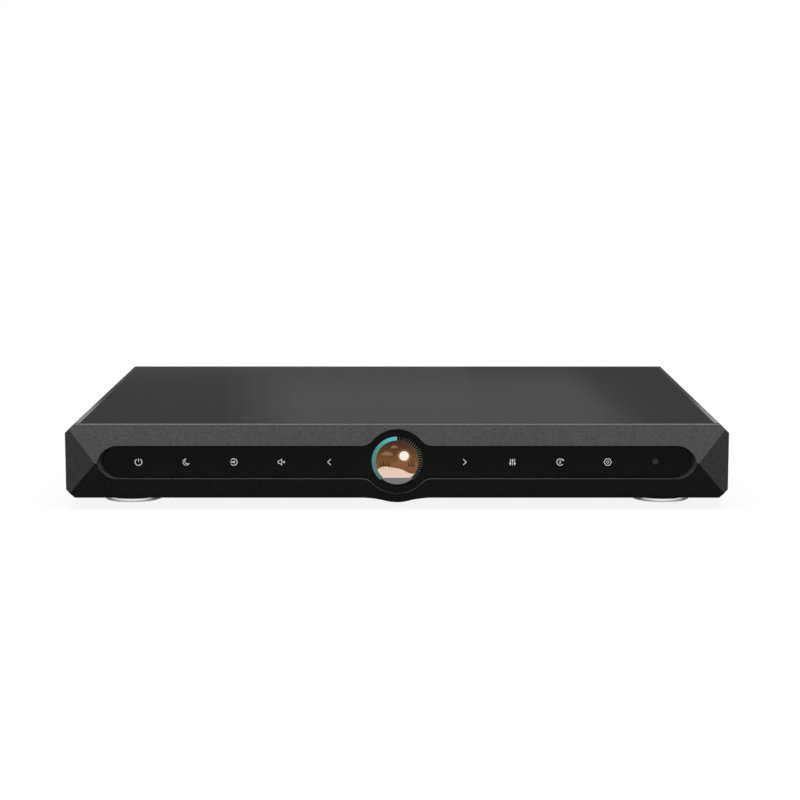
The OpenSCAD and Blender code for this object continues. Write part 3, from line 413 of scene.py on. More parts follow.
def grainFinish(name, look):
    finish, tree, shader = newFinish(name, look)
    grain = place(tree, "ShaderNodeGroup", node_tree=surfaceGrain)
    labels = {"roughness": "Roughness", "tone": "Tone Spread", "cloud": "Cloud Spread", "grain": "Scale",
              "stretch": "Stretch"}
    setInputs(grain, {labels[key]: value for key, value in look.items() if key in labels})
    base = look["color"]
    for zone, zoneColor in look.get("zones", ()):
        base = mixColors(tree, zone(tree), base, zoneColor)
    feed(tree, base, grain.inputs["Color"])
    color = grain.outputs["Color"]
    if "rub" in look:
        rub = place(tree, "ShaderNodeGroup", node_tree=edgeRub)
        setInputs(rub, {"Rubbed Color": look["rubColor"], "Amount": look["rub"], "Width": look["rubWidth"]})
        tree.links.new(color, rub.inputs["Color"])
        color = rub.outputs["Color"]
    dress(tree, shader, color, grain.outputs, look)
    return finish


def turnedFinish(name, look):
    finish, tree, shader = newFinish(name, look)
    rings = place(tree, "ShaderNodeGroup", node_tree=turnedRings)
    setInputs(rings, {"Color": look["color"], "Pitch": look["pitch"], "Roughness": look["roughness"]})
    dress(tree, shader, rings.outputs["Color"], rings.outputs, look)
    return finish


def glossFinish(name, look):
    finish, tree, shader = newFinish(name, look)
    shader.inputs["Base Color"].default_value = look["color"]
    marks = place(tree, "ShaderNodeGroup", node_tree=handSmudge)
    setInputs(marks, {"Roughness": look["roughness"], "Amount": look["smudge"]})
    tree.links.new(marks.outputs["Roughness"], shader.inputs["Roughness"])
    return finish


plainGlow = {"strength": 1.0, "specular": 0.05, "mottle": 0.1, "mottleScale": 900.0, "middle": 0.5,
             "roughness": 0.2}


def glowFinish(name, look):
    # lit picture elements, whose colour goes from start to end up the piece or round it
    look = {**plainGlow, **look}
    finish, tree, shader = newFinish(name, look)
    setInputs(shader, {"Base Color": (0, 0, 0, 1), "Roughness": look["roughness"],
                       "Emission Strength": look["strength"]})
    where = coordinate(tree, "Object")
    spot = splitOf(tree, where)
    if "turn" in look:
        amount = maths(tree, "DIVIDE", maths(tree, "ARCTAN2", spot["X"], spot["Z"]), look["turn"])
    else:
        amount = maths(tree, "MULTIPLY_ADD", spot["Z"], look["rise"], look["middle"])
    mottle = noise(tree, where, {"Scale": look["mottleScale"]})
    amount = maths(tree, "MULTIPLY_ADD", mottle.outputs["Fac"], look["mottle"], amount)
    colors = place(tree, "ShaderNodeValToRGB")
    stops = colors.color_ramp.elements
    stops[0].color, stops[1].color = srgb(*look["start"]), srgb(*look["end"])
    if "between" in look:
        share, color = look["between"]
        stops.new(share).color = srgb(*color)
    tree.links.new(amount, colors.inputs["Fac"])
    tree.links.new(colors.outputs["Color"], shader.inputs["Emission Color"])
    return finish


# zones of the case where light and shade are painted into the colour
zones = {"highlightFrom": -112.0 * mm, "highlightTo": -20.0 * mm, "landDepth": 8.0 * mm, "landWidth": 6.0 * mm,
         "landFront": 1.4 * mm, "landRear": 3.4 * mm, "bulgeFrom": 6.0 * mm, "bulgeTo": 15.0 * mm,
         "upward": 0.45, "level": 0.8, "inward": -0.02}
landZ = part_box("front_bezel")[1].z - zones["landDepth"]
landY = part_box("top_cover")[0].y - zones["landWidth"]


def spotOf(tree):
    return splitOf(tree, coordinate(tree, "Object"))


def facingOf(tree):
    return splitOf(tree, coordinate(tree, "Normal"))


def paintedHighlightEnds(tree):
    # painted highlight: the upward faces at the front ends of the side lands are painted lighter, fading
    # towards the back
    upward = maths(tree, "GREATER_THAN", facingOf(tree)["Z"], zones["upward"])
    fade = ramp(tree, spotOf(tree)["Y"], zones["highlightFrom"], zones["highlightTo"], 1.0, 0.0)
    return maths(tree, "MULTIPLY", upward, fade)


def recessWalls(tree):
    # walls of the lens recess, which look up below the land or in from the ends; painted shade darkens them
    spot, facing = spotOf(tree), facingOf(tree)
    below = maths(tree, "LESS_THAN", spot["Z"], landZ)
    upward = maths(tree, "GREATER_THAN", facing["Z"], zones["upward"])
    inward = maths(tree, "LESS_THAN", maths(tree, "MULTIPLY", spot["X"], facing["X"]), zones["inward"])
    return maths(tree, "MAXIMUM", maths(tree, "MULTIPLY", below, upward), inward)


def bulgeWalls(tree):
    # the recess walls round the display, which are thin and catch more light
    away = maths(tree, "ABSOLUTE", spotOf(tree)["X"])
    near = ramp(tree, away, zones["bulgeFrom"], zones["bulgeTo"], 1.0, 0.0)
    return maths(tree, "MULTIPLY", recessWalls(tree), near)


def frontLand(tree):
    # the level land behind the slopes, painted lighter as a painted highlight
    high = maths(tree, "GREATER_THAN", spotOf(tree)["Z"], landZ)
    return maths(tree, "MULTIPLY", high, maths(tree, "GREATER_THAN", facingOf(tree)["Z"], zones["level"]))


def landRear(tree):
    # the land's rear part next to the seam, painted darker as the seam's painted shade
    fade = ramp(tree, spotOf(tree)["Y"], landY + zones["landFront"], landY + zones["landRear"])
    return maths(tree, "MULTIPLY", frontLand(tree), fade)


# finishes of the case
bezelLook = {
    "color": grey(107.5), "roughness": 0.55, "specular": 0.0, "tone": 0.42, "cloud": 0.05, "grain": 800.0,
    "stretch": (0.7, 1, 1), "bump": 0.35, "bumpDepth": 0.00006,
    "rub": 0.15, "rubColor": grey(150), "rubWidth": 0.0004,
    # painted shade on the recess walls, painted light on the thin walls round the display, a painted
    # highlight on the land and painted shade at the land's rear
    "zones": ((recessWalls, grey(83)), (bulgeWalls, grey(112)), (frontLand, grey(120)), (landRear, grey(62)))}
coverLook = {
    "color": grey(47), "roughness": 0.42, "specular": 0.0, "coat": 0.0186, "coatRoughness": 0.08,
    "tone": 0.05, "cloud": 0.06, "grain": 2600.0, "bump": 0.1, "bumpDepth": 0.00003,
    "rub": 0.3, "rubColor": grey(110), "rubWidth": 0.0004}
# the side panels take the bezel's finish with a darker base colour as painted shade, and a painted highlight
# at the front ends of their lands
sideLook = dict(bezelLook, color=grey(68), zones=((paintedHighlightEnds, grey(120)),))
sheetLook = {
    "color": grey(48), "roughness": 0.6, "specular": 0.2, "tone": 0.12, "cloud": 0.06, "grain": 1100.0,
    "bump": 0.4, "rub": 0.4, "rubColor": grey(110), "rubWidth": 0.0003}
lensLook = {"color": grey(28), "roughness": 0.07, "smudge": 0.05, "specular": 0.077}
displayLook = {"color": grey(6), "roughness": 0.06, "smudge": 0.04, "specular": 0.06}
remoteLook = {"color": srgb(74, 68, 70), "roughness": 0.2, "smudge": 0.05, "specular": 0.36}

# metals
footLook = {"color": grey(238), "roughness": 0.16, "metallic": 1.0, "pitch": 0.0004, "bump": 0.3,
            "bumpDepth": 0.00004}
zincLook = {"color": grey(200), "roughness": 0.35, "metallic": 1.0, "tone": 0.08, "grain": 900.0, "bump": 0.1}
oxideLook = {"color": grey(52), "roughness": 0.4, "metallic": 0.6, "tone": 0.1, "grain": 900.0, "bump": 0.15,
             "rub": 0.6, "rubColor": grey(150), "rubWidth": 0.0002}
plateLook = dict(zincLook, color=grey(190), grain=400.0, stretch=(8, 1, 1))
nickelLook = dict(zincLook, color=srgb(214, 212, 206), roughness=0.22, tone=0.05, grain=700.0, bump=0.06)
goldLook = dict(zincLook, color=srgb(236, 196, 110), roughness=0.2, tone=0.06, grain=800.0, bump=0.06)
brassLook = dict(zincLook, color=srgb(214, 180, 110), roughness=0.3, tone=0.06, grain=700.0)
finLook = {"color": grey(50), "roughness": 0.45, "metallic": 0.5, "tone": 0.1, "grain": 1200.0,
           "stretch": (6, 1, 1)}

# rubber, plastics and boards
rubberLook = {"color": grey(36), "roughness": 0.8, "specular": 0.2, "tone": 0.15, "grain": 1800.0,
              "bump": 0.4}
socketLook = {"color": grey(38), "roughness": 0.5, "specular": 0.3, "tone": 0.1, "grain": 2200.0, "bump": 0.3,
              "bumpDepth": 0.00005, "rub": 0.3, "rubColor": grey(90), "rubWidth": 0.0003}
rockerLook = dict(socketLook, color=grey(30), roughness=0.32, bump=0.15)
shutterLook = dict(socketLook, color=grey(60), roughness=0.55)
whiteLook = {"color": srgb(228, 226, 220), "roughness": 0.35, "tone": 0.04, "grain": 900.0, "bump": 0.1}
redLook = dict(whiteLook, color=srgb(176, 28, 26))
orangeLook = dict(whiteLook, color=srgb(212, 112, 30))
tongueLook = dict(whiteLook, color=srgb(232, 232, 230), roughness=0.45)
guideLook = dict(whiteLook, color=srgb(225, 230, 232), roughness=0.3)
boardLook = {"color": srgb(24, 88, 52), "roughness": 0.4, "tone": 0.25, "cloud": 0.15, "grain": 260.0,
             "bump": 0.3}
coilLook = {"color": srgb(168, 120, 48), "roughness": 0.45, "tone": 0.2, "grain": 180.0, "stretch": (1, 1, 6),
            "bump": 0.4}
canLook = {"color": srgb(34, 38, 48), "roughness": 0.3, "tone": 0.08, "grain": 500.0, "bump": 0.1}
ribbonLook = {"color": srgb(222, 216, 198), "roughness": 0.5, "tone": 0.15, "grain": 500.0,
              "stretch": (4, 0.2, 0.2)}
leadLook = {"color": srgb(150, 36, 30), "roughness": 0.45, "tone": 0.08, "grain": 900.0, "bump": 0.15}
fuseLook = {"color": srgb(226, 232, 232), "roughness": 0.1, "smudge": 0.05, "coat": 0.5}

# ways of making a finish, with the looks of the slots that each serves
slotLooks = (
    (glossFinish, {"lens_black": lensLook, "remote_dark": remoteLook, "fuse_glass": fuseLook}),
    (turnedFinish, {"foot_silver": footLook}),
    (grainFinish, {
        "bezel_black": bezelLook, "cover_black": coverLook, "side_black": sideLook, "sheet_black": sheetLook,
        "screw_steel": zincLook, "screw_black": oxideLook, "plate_steel": plateLook,
        "blade_nickel": nickelLook, "jack_gold": goldLook, "standoff_brass": brassLook,
        "heatsink_black": finLook, "pad_rubber": rubberLook, "socket_black": socketLook,
        "rocker_black": rockerLook, "shutter_grey": shutterLook, "insulator_white": whiteLook,
        "insulator_red": redLook, "insulator_orange": orangeLook, "tongue_white": tongueLook,
        "guide_clear": guideLook, "board_green": boardLook, "coil_amber": coilLook,
        "capacitor_dark": canLook, "ribbon_pale": ribbonLook, "lead_red": leadLook}))
finishes = {"display": glossFinish("displayBlack", displayLook)}
for makeFinish, looks in slotLooks:
    for slotName, look in looks.items():
        first, second = slotName.split("_")
        finishes[slotName] = makeFinish(first + second.capitalize(), look)
for node in nodes.values():
    for materialSlot in node.material_slots:
        materialSlot.material = finishes[materialSlot.material.name.split(".")[0]]
print("finishes made:", len(finishes))


# points nearer than this become one, in the CAD solids and in the pieces made here
weldGaps = {"solid": 1e-6, "piece": 1e-7}

# broken edges on the solids that show, in millimetres
edges = {"segments": 2, "angle": 40}
edgeWidths = {
    "front_bezel": 0.16, "front_lens": 0.10, "top_cover": 0.12, "left_side_panel": 0.15,
    "right_side_panel": 0.15, "mains_inlet": 0.30, "switch_frame": 0.25, "power_rocker": 0.30,
    "fuse_drawer": 0.25, "optical_socket": 0.15, "optical_shutter": 0.10, "usb_shells": 0.08,
    "network_socket": 0.12, "left_line_shell": 0.12, "right_line_shell": 0.12, "coax_shell": 0.12,
    "left_line_insulator": 0.12, "right_line_insulator": 0.12, "coax_insulator": 0.12,
    "inlet_blades": 0.20}
for nodeName, width in edgeWidths.items():
    weld = nodes[nodeName].modifiers.new("weld", "WELD")
    weld.merge_threshold = weldGaps["solid"]
    soften = nodes[nodeName].modifiers.new("soften", "BEVEL")
    soften.width = width * mm
    soften.segments = edges["segments"]
    soften.limit_method = "ANGLE"
    soften.angle_limit = math.radians(edges["angle"])
    soften.use_clamp_overlap = False
    soften.harden_normals = True
print("edges softened:", len(edgeWidths))


# steps of round forms: degrees that one step of a ring spans, its fewest steps, a bar's end and a disc
rounds = {"ringSpan": 6, "ringFewest": 4, "barEnd": 6, "disc": 24}


# mesh helpers; flat shapes lie in x and z and face the front
def addPiece(name, mesh, finish, body="case", spot=(0, 0, 0), smooth=None):
    bmesh.ops.remove_doubles(mesh, verts=mesh.verts, dist=weldGaps["piece"])
    bmesh.ops.recalc_face_normals(mesh, faces=mesh.faces)
    data = bpy.data.meshes.new(name)
    mesh.to_mesh(data)
    mesh.free()
    data.materials.append(finish)
    if smooth is not None:
        data.shade_smooth()
        data.set_sharp_from_angle(angle=math.radians(smooth))
    piece = bpy.data.objects.new(name, data)
    piece.location = spot
    scene.collection.objects.link(piece)
    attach(piece, body)
    return piece


def prism(mesh, outline, front, back):
    near = [mesh.verts.new((x, front, z)) for x, z in outline]
    far = [mesh.verts.new((x, back, z)) for x, z in outline]
    mesh.faces.new(near)
    mesh.faces.new(far[::-1])
    for index in range(len(outline)):
        following = (index + 1) % len(outline)
        mesh.faces.new((near[index], far[index], far[following], near[following]))


def block(mesh, low, high):
    outline = [(low[0], low[2]), (high[0], low[2]), (high[0], high[2]), (low[0], high[2])]
    prism(mesh, outline, low[1], high[1])


def arcPoints(x, z, radius, start, end, steps):
    turns = [math.radians(start + (end - start) * i / steps) for i in range(steps + 1)]
    return [(x + radius * math.cos(t), z + radius * math.sin(t)) for t in turns]


def ringArc(mesh, x, z, radius, width, start, end, front, back):
    # an open ring; a whole turn is made of two halves
    if end - start >= 360:
        ringArc(mesh, x, z, radius, width, start, start + 180, front, back)
        ringArc(mesh, x, z, radius, width, start + 180, start + 360, front, back)
        return
    steps = max(rounds["ringFewest"], round((end - start) / rounds["ringSpan"]))
    outer = arcPoints(x, z, radius + width / 2, start, end, steps)
    inner = arcPoints(x, z, radius - width / 2, end, start, steps)
    prism(mesh, outer + inner, front, back)


def stroke(mesh, start, end, width, front, back):
    # a bar with round ends
    angle = math.degrees(math.atan2(end[1] - start[1], end[0] - start[0]))
    outline = arcPoints(*end, width / 2, angle - 90, angle + 90, rounds["barEnd"])
    outline += arcPoints(*start, width / 2, angle + 90, angle + 270, rounds["barEnd"])
    prism(mesh, outline, front, back)


def disc(mesh, x, z, radius, front, back, steps=rounds["disc"]):
    prism(mesh, arcPoints(x, z, radius, 0, 360, steps)[:-1], front, back)


def spin(mesh, profile, steps):
    # a closed profile of (radius, height) turned round the upright axis
    rings = []
    for i in range(steps):
        angle = 2 * math.pi * i / steps
        rings.append([mesh.verts.new((r * math.cos(angle), r * math.sin(angle), h)) for r, h in profile])
    for i in range(steps):
        ring, following = rings[i], rings[(i + 1) % steps]
        for k in range(len(profile)):
            step = (k + 1) % len(profile)
            mesh.faces.new((ring[k], following[k], following[step], ring[step]))


# touch signs that shine through the lens, drawn round their own middle in millimetres
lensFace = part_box("front_lens")[0].y
signZ = (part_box("front_lens")[0].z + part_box("front_lens")[1].z) / 2
signs = {"first": 44.0 * mm, "pitch": 30.88 * mm, "size": 0.93, "line": 0.54, "thin": 0.432, "drop": 0.4 * mm,
         "proud": 0.03 * mm, "sink": 0.2 * mm,
         "glow": {"rise": 0.0, "mottle": 0.15, "start": (175, 175, 175), "end": (215, 215, 215)}}
line, thin = signs["line"], signs["thin"]


def chain(mesh, points, width):
    for start, end in zip(points, points[1:]):
        stroke(mesh, start, end, width, 0, 1)


def powerSign(mesh):
    ringArc(mesh, 0, 0, 2.35, line, 122, 418, 0, 1)
    chain(mesh, [(0, 0.5), (0, 2.15)], line)


def sleepSign(mesh):
    ringArc(mesh, 0, 0, 2.2, thin, 97, 333, 0, 1)
    ringArc(mesh, 0.9, 0.65, 1.9, thin, 120, 310, 0, 1)


def inputSign(mesh):
    ringArc(mesh, 0, 0, 2.3, line, -148, 148, 0, 1)
    chain(mesh, [(-2.4, 0), (-0.4, 0)], line)
    disc(mesh, 0.1, 0, 0.75, 0, 1)


def muteSign(mesh):
    cone = [(-2.3, -0.85), (-1.3, -0.85), (0.2, -2.1), (0.2, 2.1), (-1.3, 0.85), (-2.3, 0.85)]
    chain(mesh, cone + cone[:1], thin)
    for slant in (1, -1):
        chain(mesh, [(1.1, -0.55 * slant), (2.2, 0.55 * slant)], thin)


def backSign(mesh):
    chain(mesh, [(1.0, 1.9), (-1.0, 0), (1.0, -1.9)], line)


def forwardSign(mesh):
    chain(mesh, [(-1.0, 1.9), (1.0, 0), (-1.0, -1.9)], line)


def slidersSign(mesh):
    for across, knob in ((-1.5, -1.05), (0, 1.05), (1.5, -1.05)):
        chain(mesh, [(across, -2.1), (across, 2.1)], thin)
        disc(mesh, across, knob, 0.7, 0, 1)


def repeatSign(mesh):
    ringArc(mesh, 0, 0, 2.3, line, 40, 322, 0, 1)
    prism(mesh, [(2.6, 0.75), (1.0, 1.2), (2.4, 2.2)], 0, 1)
    chain(mesh, [(0.35, 1.05), (-0.45, 0.1), (0.45, -0.1), (-0.35, -1.05)], thin)


def settingsSign(mesh):
    chain(mesh, arcPoints(0, 0, 2.6, 0, 360, 6), 0.9 * line)
    ringArc(mesh, 0, 0, 0.85, 0.8 * thin, 0, 360, 0, 1)


# places count from the middle, left is negative
signPlaces = {-5: powerSign, -4: sleepSign, -3: inputSign, -2: muteSign, -1: backSign,
              1: forwardSign, 2: slidersSign, 3: repeatSign, 4: settingsSign}
signGlow = glowFinish("signGlow", signs["glow"])
for count, draw in signPlaces.items():
    mesh = bmesh.new()
    draw(mesh)
    depth = signs["sink"] + signs["proud"]
    bmesh.ops.scale(mesh, vec=(signs["size"] * mm, depth, signs["size"] * mm), verts=mesh.verts)
    reach = signs["first"] + (abs(count) - 1) * signs["pitch"]
    addPiece(draw.__name__, mesh, signGlow,
             spot=(math.copysign(reach, count), lensFace - signs["proud"], signZ - signs["drop"]))
print("touch signs made:", len(signPlaces))


# round display: a dusk landscape of plain shapes, a volume arc and a scale of ticks
display = {
    "radius": 15.0 * mm, "skyRadius": 14.0 * mm, "skySteps": 72, "layer": 0.02 * mm, "sink": 0.1 * mm,
    "barTop": -10.7 * mm, "arcRadius": 15.05 * mm, "arcWidth": 2.45 * mm, "arcStart": 90, "arcEnd": 228,
    "tickFirst": -48, "tickLast": 84, "tickStep": 6, "tickRadius": 14.85 * mm, "tickReach": 1.2 * mm,
    "tickWidth": 0.45 * mm}
sun = {"spot": (4.6 * mm, 3.6 * mm), "radius": 3.1 * mm, "halo": 4.5 * mm, "steps": 40}
# left end, right end, height and thickness of each layer of cloud, in millimetres
clouds = ((-9.4, -3.4, 4.6, 1.3), (-7.8, -5.0, 5.6, 1.7), (-3.6, 0.2, 9.2, 1.0), (-2.6, -0.9, 9.9, 1.2))
# place and height of each tree, in millimetres
pines = {"foot": -3.4, "half": 0.7,
         "trees": ((-10.6, 4.0), (-8.9, 4.8), (-7.5, 3.8), (-5.4, 4.4), (7.8, 3.6), (9.4, 4.4), (10.9, 3.7))}
# height, pace and shift of the waves along each skyline
hills = {"skySteps": 24, "rimSteps": 40, "inside": 0.995, "farLevel": -1.2 * mm, "nearLevel": -5.6 * mm,
         "farWaves": ((1.5 * mm, 3.4, 0.6), (0.6 * mm, 8.0, 1.0)),
         "nearWaves": ((2.2 * mm, 2.6, 2.6), (0.4 * mm, 7.0, 0.0))}


def hillOutline(radius, level, waves):
    # the part of a disc under a wavy skyline
    edge = math.sqrt(radius ** 2 - level ** 2)
    skyline = []
    for i in range(1, hills["skySteps"]):
        x = edge - 2 * edge * i / hills["skySteps"]
        z = level + sum(size * math.sin(pace * x / radius + shift) for size, pace, shift in waves)
        limit = math.sqrt(max(radius ** 2 - x ** 2, 0)) * hills["inside"]
        skyline.append((x, max(-limit, min(limit, z))))
    start = math.degrees(math.atan2(level, -edge)) % 360
    end = math.degrees(math.atan2(level, edge)) % 360
    if end < start:
        end += 360
    return skyline + arcPoints(0, 0, radius, start, end, hills["rimSteps"])


def discOf(spot, radius, steps):
    return lambda mesh, front, back: disc(mesh, *spot, radius, front, back, steps)


def hillOf(radius, level, waves=()):
    return lambda mesh, front, back: prism(mesh, hillOutline(radius, level, waves), front, back)


def drawClouds(mesh, front, back):
    for left, right, height, thickness in clouds:
        stroke(mesh, (left * mm, height * mm), (right * mm, height * mm), thickness * mm, front, back)


def drawPines(mesh, front, back):
    low = pines["foot"]
    for x, height in pines["trees"]:
        outline = [(x - pines["half"], low), (x + pines["half"], low), (x, low + height)]
        prism(mesh, [(across * mm, up * mm) for across, up in outline], front, back)


def drawArc(mesh, front, back):
    radius, width = display["arcRadius"], display["arcWidth"]
    ringArc(mesh, 0, 0, radius, width, display["arcStart"], display["arcEnd"], front, back)


def drawTicks(mesh, front, back):
    ends = (display["tickRadius"] - display["tickReach"], display["tickRadius"] + display["tickReach"])
    for angle in range(display["tickFirst"], display["tickLast"] + 1, display["tickStep"]):
        turn = math.radians(angle)
        inner, outer = ((reach * math.cos(turn), reach * math.sin(turn)) for reach in ends)
        stroke(mesh, inner, outer, display["tickWidth"], front, back)


# drawing, height over the lens in layers, and glow of each piece
displayPieces = {
    "displaySky": (discOf((0, 0), display["skyRadius"], display["skySteps"]), 1, {
        "rise": 38.0, "mottle": 0.15, "start": (190, 140, 92), "between": (0.45, (126, 84, 44)),
        "end": (72, 46, 30)}),
    "displayHalo": (discOf(sun["spot"], sun["halo"], sun["steps"]), 1.5, {
        "rise": 38.0, "mottle": 0.15, "start": (196, 148, 100), "end": (96, 64, 42)}),
    "displaySun": (discOf(sun["spot"], sun["radius"], sun["steps"]), 2, {
        "rise": 100.0, "start": (244, 220, 190), "end": (250, 240, 226)}),
    "displayClouds": (drawClouds, 2, {
        "rise": 60.0, "mottle": 0.3, "start": (190, 146, 110), "end": (136, 100, 76)}),
    "displayPines": (drawPines, 3.5, {
        "rise": 60.0, "mottle": 0.3, "start": (58, 38, 26), "end": (84, 56, 36)}),
    "displayFarHills": (hillOf(display["skyRadius"], hills["farLevel"], hills["farWaves"]), 3, {
        "rise": 60.0, "mottle": 0.25, "start": (110, 74, 44), "end": (148, 96, 60)}),
    "displayNearHill": (hillOf(display["skyRadius"], hills["nearLevel"], hills["nearWaves"]), 4, {
        "rise": 60.0, "mottle": 0.2, "start": (232, 206, 190), "end": (214, 172, 140)}),
    "displayBar": (hillOf(display["radius"], display["barTop"]), 5, {
        "rise": 40.0, "start": (120, 114, 116), "end": (140, 134, 136)}),
    "volumeArc": (drawArc, 6, {
        "turn": -math.radians(138), "mottle": 0.04, "start": (92, 190, 196), "between": (0.4, (74, 150, 146)),
        "end": (72, 112, 104)}),
    "volumeTicks": (drawTicks, 6, {
        "turn": math.radians(138), "mottle": 0.12, "start": (38, 48, 44), "between": (0.5, (98, 98, 88)),
        "end": (60, 82, 78)})}
for name, (draw, height, glow) in displayPieces.items():
    mesh = bmesh.new()
    draw(mesh, -height * display["layer"], display["sink"])
    addPiece(name, mesh, glowFinish(name, glow), spot=(0, lensFace, signZ))
print("display drawn")


# turned feet with a waist, and ribbed pads
foot = {"band": 3.2 * mm, "waist": 2.5 * mm, "lowEdge": 0.5 * mm, "lowSteps": 4, "topEdge": 1.1 * mm,
        "topSteps": 6, "bore": 2.1 * mm, "fit": 0.3 * mm, "steps": 96, "smooth": 30}
pad = {"bore": 6.0 * mm, "edge": 0.3 * mm, "ribs": 6, "ribFirst": 1.2 * mm, "ribPitch": 1.5 * mm,
       "ribDepth": 0.35 * mm, "ribSlope": 0.4 * mm, "ribFloor": 0.3 * mm, "steps": 72, "smooth": 30}


def footProfile(radius, seat, low, high, seatTop):
    lowEdge, topEdge, bore = foot["lowEdge"], foot["topEdge"], foot["bore"]
    neck, bandZ = radius - foot["waist"], low + foot["band"]
    profile = [(bore, seatTop), (seat, seatTop), (seat, low)]
    profile += arcPoints(radius - lowEdge, low + lowEdge, lowEdge, -90, 0, foot["lowSteps"])
    profile += arcPoints(radius - topEdge, bandZ - topEdge, topEdge, 0, 90, foot["topSteps"])
    return profile + [(neck, bandZ), (neck, high), (bore, high)]


def padProfile(radius, top):
    bore, edge, deep = pad["bore"], pad["edge"], pad["ribDepth"]
    profile = [(bore, top), (bore, edge), (bore + edge, 0)]
    for i in range(pad["ribs"]):
        start = bore + pad["ribFirst"] + i * pad["ribPitch"]
        inner = start + pad["ribSlope"]
        outer = inner + pad["ribFloor"]
        profile += [(start, 0), (inner, deep), (outer, deep), (outer + pad["ribSlope"], 0)]
    return profile + [(radius - edge, 0), (radius, edge), (radius, top)]


def addTurned(name, profile, sizes, slotName, spot, replaced):
    mesh = bmesh.new()
    spin(mesh, profile, sizes["steps"])
    piece = addPiece(name, mesh, finishes[slotName], spot=spot, smooth=sizes["smooth"])
    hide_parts(replaced)


for end in ("front", "rear"):
    for side in ("left", "right"):
        corner, label = end + "_" + side, end + side.capitalize()
        low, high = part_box(corner + "_foot")
        padLow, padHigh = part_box(corner + "_pad")
        padRadius = (padHigh.x - padLow.x) / 2
        spot = ((low.x + high.x) / 2, (low.y + high.y) / 2, 0)
        turned = footProfile((high.x - low.x) / 2, padRadius + foot["fit"], low.z, high.z, padHigh.z)
        addTurned(label + "FootTurned", turned, foot, "foot_silver", spot, corner + "_foot")
        ribbed = padProfile(padRadius, padHigh.z)
        addTurned(label + "PadRibbed", ribbed, pad, "pad_rubber", spot, corner + "_pad")
print("feet turned")


def solidBoxes(name):
    # boxes of the separate solids in a CAD node
    bpy.context.view_layer.update()
    mesh = bmesh.new()
    mesh.from_mesh(nodes[name].data)
    bmesh.ops.transform(mesh, matrix=nodes[name].matrix_world, verts=mesh.verts)
    bmesh.ops.remove_doubles(mesh, verts=mesh.verts, dist=weldGaps["solid"])
    boxes, waiting = [], set(mesh.verts)
    while waiting:
        stack, spots = [waiting.pop()], []
        while stack:
            vert = stack.pop()
            spots.append(vert.co.copy())
            for edge in vert.link_edges:
                other = edge.other_vert(vert)
                if other in waiting:
                    waiting.remove(other)
                    stack.append(other)
        boxes.append(tuple(Vector(pick(spot[i] for spot in spots) for i in range(3)) for pick in (min, max)))
    mesh.free()
    return sorted(boxes, key=lambda box: tuple(box[0]))


# screws with hexagon sockets; a screw's head looks up before it is turned
screws = {"edge": 0.3 * mm, "socketShare": 0.5, "socketDepth": 1.1 * mm, "shank": 1.45 * mm,
          "footShank": 2.0 * mm, "headHeight": 1.8 * mm, "steps": 24, "smooth": 35}
ringTurns = [math.radians(360 * i / screws["steps"]) for i in range(screws["steps"])]
rearward = Matrix.Rotation(math.radians(-90), 4, "X")
downward = Matrix.Rotation(math.radians(180), 4, "X")


def roundRing(radius, height):
    return [Vector((radius * math.cos(turn), radius * math.sin(turn), height)) for turn in ringTurns]


def hexRing(radius, height):
    # a hexagon with as many points as a round ring
    side, ring = math.radians(60), []
    for turn in ringTurns:
        reach = radius * math.cos(side / 2) / math.cos(turn % side - side / 2)
        ring.append(Vector((reach * math.cos(turn), reach * math.sin(turn), height)))
    return ring


def loft(mesh, rings, matrix):
    loops = [[mesh.verts.new(matrix @ point) for point in ring] for ring in rings]
    mesh.faces.new(loops[0])
    mesh.faces.new(loops[-1])
    for near, far in zip(loops, loops[1:]):
        for i in range(len(near)):
            following = (i + 1) % len(near)
            mesh.faces.new((near[i], near[following], far[following], far[i]))


def panScrew(mesh, spot, turn, head, shank, length):
    edge, height, hexagon = screws["edge"], screws["headHeight"], screws["socketShare"] * head
    rings = [roundRing(shank, -length), roundRing(shank, 0), roundRing(head, 0)]
    rings += [roundRing(head, height - edge), roundRing(head - edge, height)]
    rings += [hexRing(hexagon, height), hexRing(hexagon, height - screws["socketDepth"])]
    loft(mesh, rings, Matrix.Translation(spot) @ turn)


def flatScrew(mesh, spot, turn, head, shank, length):
    hexagon = screws["socketShare"] * head
    rings = [roundRing(shank, -length), roundRing(shank, shank - head), roundRing(head, 0)]
    rings += [hexRing(hexagon, 0), hexRing(hexagon, -screws["socketDepth"])]
    loft(mesh, rings, Matrix.Translation(spot) @ turn)


def rearScrew(mesh, low, high):
    seat = high.y - screws["headHeight"]
    spot = ((low.x + high.x) / 2, seat, (low.z + high.z) / 2)
    panScrew(mesh, spot, rearward, (high.x - low.x) / 2, screws["shank"], seat - low.y)


def baseScrew(mesh, low, high):
    spot = ((low.x + high.x) / 2, (low.y + high.y) / 2, low.z)
    flatScrew(mesh, spot, downward, (high.x - low.x) / 2, screws["shank"], high.z - low.z)


def footScrew(mesh, low, high):
    seat = low.z + screws["headHeight"]
    spot = ((low.x + high.x) / 2, (low.y + high.y) / 2, seat)
    panScrew(mesh, spot, downward, (high.x - low.x) / 2, screws["footShank"], high.z - seat)


for draw, slotName in ((rearScrew, "screw_black"), (baseScrew, "screw_black"), (footScrew, "screw_steel")):
    nodeName = draw.__name__.replace("Screw", "_screws")
    mesh = bmesh.new()
    for low, high in solidBoxes(nodeName):
        draw(mesh, low, high)
    piece = addPiece(draw.__name__ + "sSocketed", mesh, finishes[slotName], smooth=screws["smooth"])
    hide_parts(nodeName)
print("screws made")


# printed marks: thin pale ink a little proud of the face
ink = {"proud": 0.03 * mm, "sink": 0.15 * mm, "line": 0.45 * mm,
       "look": {"color": grey(205), "roughness": 0.6, "tone": 0.1, "grain": 1600.0}}
inkFinish = grainFinish("paleInk", ink["look"])
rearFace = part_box("rear_panel")[1].y


